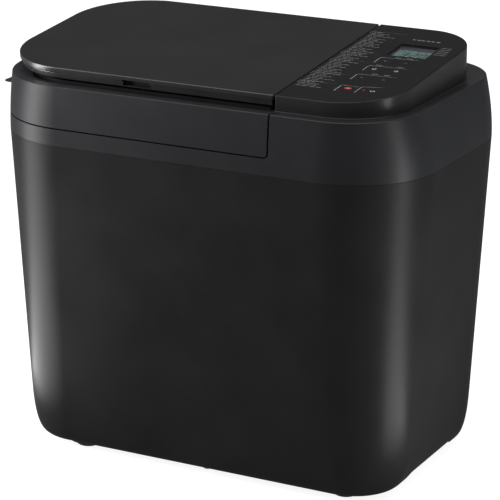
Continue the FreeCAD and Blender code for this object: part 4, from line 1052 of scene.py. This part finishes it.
def ring_mark(x, y, half_x, half_y, width, z):
    """Printed oval ring."""
    steps = 28
    mesh = bmesh.new()
    rows = []
    for reach, height in ((0, z + INK_FOOT), (width, z + INK_FOOT), (width, z + INK), (0, z + INK)):
        ring = []
        for step in range(steps):
            angle = math.tau * step / steps
            ring.append(mesh.verts.new((x + (half_x - reach) * math.cos(angle),
                                        y + (half_y - reach) * math.sin(angle), height)))
        rows.append(ring)
    for lower, upper in zip(rows, rows[1:] + rows[:1]):
        for index in range(steps):
            after = (index + 1) % steps
            mesh.faces.new((lower[index], lower[after], upper[after], upper[index]))
    return mesh


def chevron(x, y, size, up, z):
    lean = size * (CHEVRON_LEAN if up else -CHEVRON_LEAN)
    return stroke([(x - size, y - lean), (x, y + lean), (x + size, y - lean)], CHEVRON_WIDTH, z=z)


def word_lengths(seed, width):
    """Lengths of the bars that stand for the words of one row."""
    lengths = []
    used = 0.0
    step = seed
    while True:
        step = (step * 37 + 11) % 101
        length = WORD_SHORTEST + WORD_SPREAD * step / 101
        if used + length > width:
            return lengths
        lengths.append(length)
        used += length + WORD_GAP


def menu_marks():
    """Columns of plain bars where the programme list is printed."""
    marks = []
    edge, foot, head = MENU_RULE
    for group, (top, rows) in enumerate(MENU_GROUPS):
        left = MENU_LEFT + edge
        rule = bent((left, top + foot), (left, top + head), (MENU_RIGHT, top + head), RULE_RADIUS)
        marks.append(stroke(rule, *RULE_LINE))
        for row in range(rows + 1):
            y = top - row * MENU_PITCH
            x = MENU_LEFT + MENU_INDENT
            tall = MENU_ROW if row else MENU_HEADER
            width = MENU_WIDTHS[(row + group) % 4]
            for length in word_lengths(7 * group + row + 3, width):
                marks.append(bar(x, y - tall / 2, x + length, y + tall / 2))
                x += length + WORD_GAP
    return marks


def key_frames():
    """Thin corner lines round each group of keys."""
    frames = []
    for left, low, high, right, rise in KEY_FRAMES:
        line = bent((left, low), (left, high), (right, high + rise), FRAME_RADIUS)
        frames.append(stroke(line, *FRAME_LINE))
    return frames


def label_marks():
    """Short bars beside the display and over the keys, in place of the printed words."""
    marks = []
    for index in range(SIDE_LABELS):
        y = SIDE_LABEL_Y + index * SIDE_LABEL_PITCH
        for start, length, loss in SIDE_LABEL_BARS:
            marks.append(bar(start, y - LABEL_HALF, start + length - loss * index, y + LABEL_HALF))
    for x, y in LABELS:
        marks.append(bar(x, y - LABEL_HALF, x + LABEL_LENGTH, y + LABEL_HALF))
    for index in range(NAME_BARS):
        x = NAME_LEFT + index * NAME_PITCH
        marks.append(bar(x, NAME_LOW, x + NAME_LENGTHS[index % 2], NAME_HIGH))
    return marks


def panel_print():
    labels = merged(menu_marks() + label_marks())
    add_piece("panel_labels", on_top(labels), PRINT_DIM, "housing")
    add_piece("panel_frames", on_top(merged(key_frames())), PRINT, "housing")


def key_print():
    """Symbols on the key caps; each rides on its own key."""
    z = KEY_RAISE
    symbols = {
        "timer_down_key": ([chevron(-1, 0, 1.4, False, z)], PRINT_DIM),
        "timer_up_key": ([chevron(-1, 0, 1.5, True, z)], PRINT_DULL_RED),
        "size_key": ([ring_mark(-1.0, 0, 1.9, 1.5, 0.5, z), bar(-2.6, -1.9, 0.6, -1.4, z)], PRINT),
        "crust_key": ([ring_mark(0.4, 0, 1.9, 1.5, 0.4, z), bar(0.4, -1.1, 1.8, 1.1, z)], PRINT),
        "menu_down_key": ([chevron(-1, 0, 1.4, False, z)], PRINT_DIM),
        "menu_up_key": ([chevron(0, 0, 1.4, True, z)], PRINT_DIM),
        "stop_key": ([ring_mark(0, 1.6, 3.3, 2.2, 3.2, z)], PRINT_RED),
        "start_key": ([ring_mark(-4.2, 1.6, 0.9, 0.8, 0.75, z)], PRINT_RED),
    }
    for name, (meshes, material) in symbols.items():
        mesh = merged(meshes)
        mesh.transform(Matrix.Translation((*key_centre(name), 0)))
        add_piece(name.replace("_key", "_mark"), on_top(mesh), material, name)
    x, y = key_centre("start_key")
    x += 3.6
    y += 1.4
    zigzag = [(x - 2.3, y + 0.5), (x - 0.9, y - 1.3), (x + 0.9, y + 1.3), (x + 2.3, y - 0.5)]
    add_piece("start_arrow", on_top(stroke(zigzag, 0.75, z=z)), PRINT_BRIGHT, "start_key")
    x, y = key_centre("stop_key")
    y += 1.6
    square = bar(x - 1.4, y - 0.7, x + 1.4, y + 0.7, z + INK)
    add_piece("stop_square", on_top(square), PRINT_PINK, "stop_key")


# ---------- display ----------
def digit(symbol, x, y, z):
    """Seven-segment digit, leaning a little to the right."""
    width, height = DIGIT_SIZE
    thick = SEGMENT_THICK
    gap = SEGMENT_GAP
    middle = height / 2
    spans = {
        "a": ((thick, height - thick), (width - thick, height)),
        "b": ((width - thick, middle + gap), (width, height - gap)),
        "c": ((width - thick, gap), (width, middle - gap)),
        "d": ((thick, 0), (width - thick, thick)),
        "e": ((0, gap), (thick, middle - gap)),
        "f": ((0, middle + gap), (thick, height - gap)),
        "g": ((thick, middle - thick / 2), (width - thick, middle + thick / 2)),
    }
    parts = []
    for letter in SEGMENT_MAP[symbol]:
        low, high = spans[letter]
        part = bar(x + low[0], y + low[1], x + high[0], y + high[1], z)
        for vertex in part.verts:
            vertex.co.x += (vertex.co.y - y) * DIGIT_LEAN
        parts.append(part)
    return parts


def display():
    z = CELL_TOP + FIELD_THICK
    active = slab(FIELD_LOW, FIELD_HIGH, 0.8, 0.8, CELL_TOP, z, edge=0.015, under=0.01)
    add_piece("display_field", on_top(active), ACTIVE, "housing")
    parts = []
    for symbol, x in DIGITS:
        parts += digit(symbol, x, DIGIT_FOOT, z)
    for y in COLON_Y:
        parts.append(bar(COLON_X[0], y, COLON_X[1], y + COLON_HEIGHT, z))
    for index in range(TICKS):
        shift = TICK_PITCH * index
        parts.append(bar(TICK_X[0] + shift, TICK_Y[0], TICK_X[1] + shift, TICK_Y[1], z))
    add_piece("display_digits", on_top(merged(parts)), SEGMENTS, "housing")


# ---------- CAD nodes that stay ----------
CAD_LOOKS = (
    (BASE, ("base_plate", "cord_gland")),
    (BAND, ("lid_housing",)),
    (RUBBER, ("feet",)),
    (ZINC, ("base_screws", "hinge_bracket", "lid_hinge_pins", "dispenser_hinge_pins", "handle_pivots",
            "temperature_sensor")),
    (STEEL, ("oven_chamber", "heat_shield", "chamber_stand", "motor_bracket", "pan_seat")),
    (SHEATH, ("heater_element",)),
    (SHAFT, ("drive_shaft", "motor_shaft", "kneading_shaft")),
    (BRONZE, ("drive_bearing", "pan_bearing")),
    (PULLEY, ("large_pulley", "motor_pulley")),
    (CAST, ("drive_coupling", "wing_coupling", "pan_base_ring")),
    (CAN, ("motor_housing",)),
    (BELT, ("drive_belt",)),
    (BOARD, ("power_board", "control_board")),
    (COATING, ("bread_pan", "kneading_blade")),
    (WIRE, ("pan_handle",)),
    (LINER, ("lid_liner",)),
    (SEAL, ("lid_seal",)),
    (SMOKE, ("nut_dispenser_box", "yeast_cup", "nut_flap", "yeast_flap")),
    (COIL, ("dispenser_solenoids",)),
    (GLASS, ("lcd_window",)),
    (CELL, ("lcd_module",)),
)


def dress_cad_nodes():
    for material, names in CAD_LOOKS:
        for name in names:
            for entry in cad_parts[name].material_slots:
                entry.material = material


# ---------- studio ----------
def area_light(name, place, target, width, height, radiance):
    """Soft panel of a given radiance that faces a point."""
    data = bpy.data.lights.new(name, "AREA")
    data.shape = "RECTANGLE"
    data.size = width
    data.size_y = height
    data.energy = radiance * math.pi * width * height
    light = bpy.data.objects.new(name, data)
    light.location = place
    light.rotation_mode = "QUATERNION"
    light.rotation_quaternion = (Vector(target) - Vector(place)).to_track_quat("-Z", "Y")
    light.visible_camera = False
    bpy.context.scene.collection.objects.link(light)


def studio():
    world = bpy.data.worlds.new("studio")
    world.use_nodes = True
    background = world.node_tree.nodes["Background"]
    background.inputs["Color"].default_value = (*SURROUND, 1)
    background.inputs["Strength"].default_value = 1.0
    bpy.context.scene.world = world
    for light in LIGHTS:
        area_light(*light)
    bpy.context.scene.view_settings.view_transform = "Standard"


def floor():
    """Pale floor, faintly lit from within, that the dark plastic doesn't mirror."""
    mesh = bmesh.new()
    bmesh.ops.create_grid(mesh, x_segments=8, y_segments=8, size=FLOOR_HALF)
    data = bpy.data.meshes.new("floor")
    mesh.to_mesh(data)
    mesh.free()
    material, tree, shader = new_material("pale_floor")
    shade = noise(tree, 700.0)
    tree.links.new(blended(tree, shade, *FLOOR_SHADES), shader.inputs["Base Color"])
    shader.inputs["Emission Color"].default_value = (1, 1, 1, 1)
    shader.inputs["Emission Strength"].default_value = FLOOR_GLOW
    shader.inputs["Roughness"].default_value = 0.8
    shader.inputs["Specular IOR Level"].default_value = 0.2
    data.materials.append(material)
    ground = bpy.data.objects.new("floor", data)
    ground.location.z = -FLOOR_DROP
    ground.visible_glossy = False
    bpy.context.scene.collection.objects.link(ground)


def camera():
    azimuth = math.radians(CAMERA_AZIMUTH)
    elevation = math.radians(CAMERA_ELEVATION)
    level = math.cos(elevation)
    back = Vector((math.sin(azimuth) * level, -math.cos(azimuth) * level, math.sin(elevation)))
    data = bpy.data.cameras.new("camera")
    data.lens = CAMERA_LENS
    data.sensor_width = CAMERA_SENSOR
    data.shift_x, data.shift_y = CAMERA_SHIFT
    view = bpy.data.objects.new("camera", data)
    view.location = CAMERA_TARGET + back * CAMERA_DISTANCE
    view.rotation_mode = "QUATERNION"
    view.rotation_quaternion = (-back).to_track_quat("-Z", "Y")
    bpy.context.scene.collection.objects.link(view)
    bpy.context.scene.camera = view


case_shell()
band_shell()
lid_skirt()
steam_hood()
cover_plate()
cover_layer()
pod_shell()
panel_film()
key_caps()
panel_print()
key_print()
display()
dress_cad_nodes()
floor()
studio()
camera()
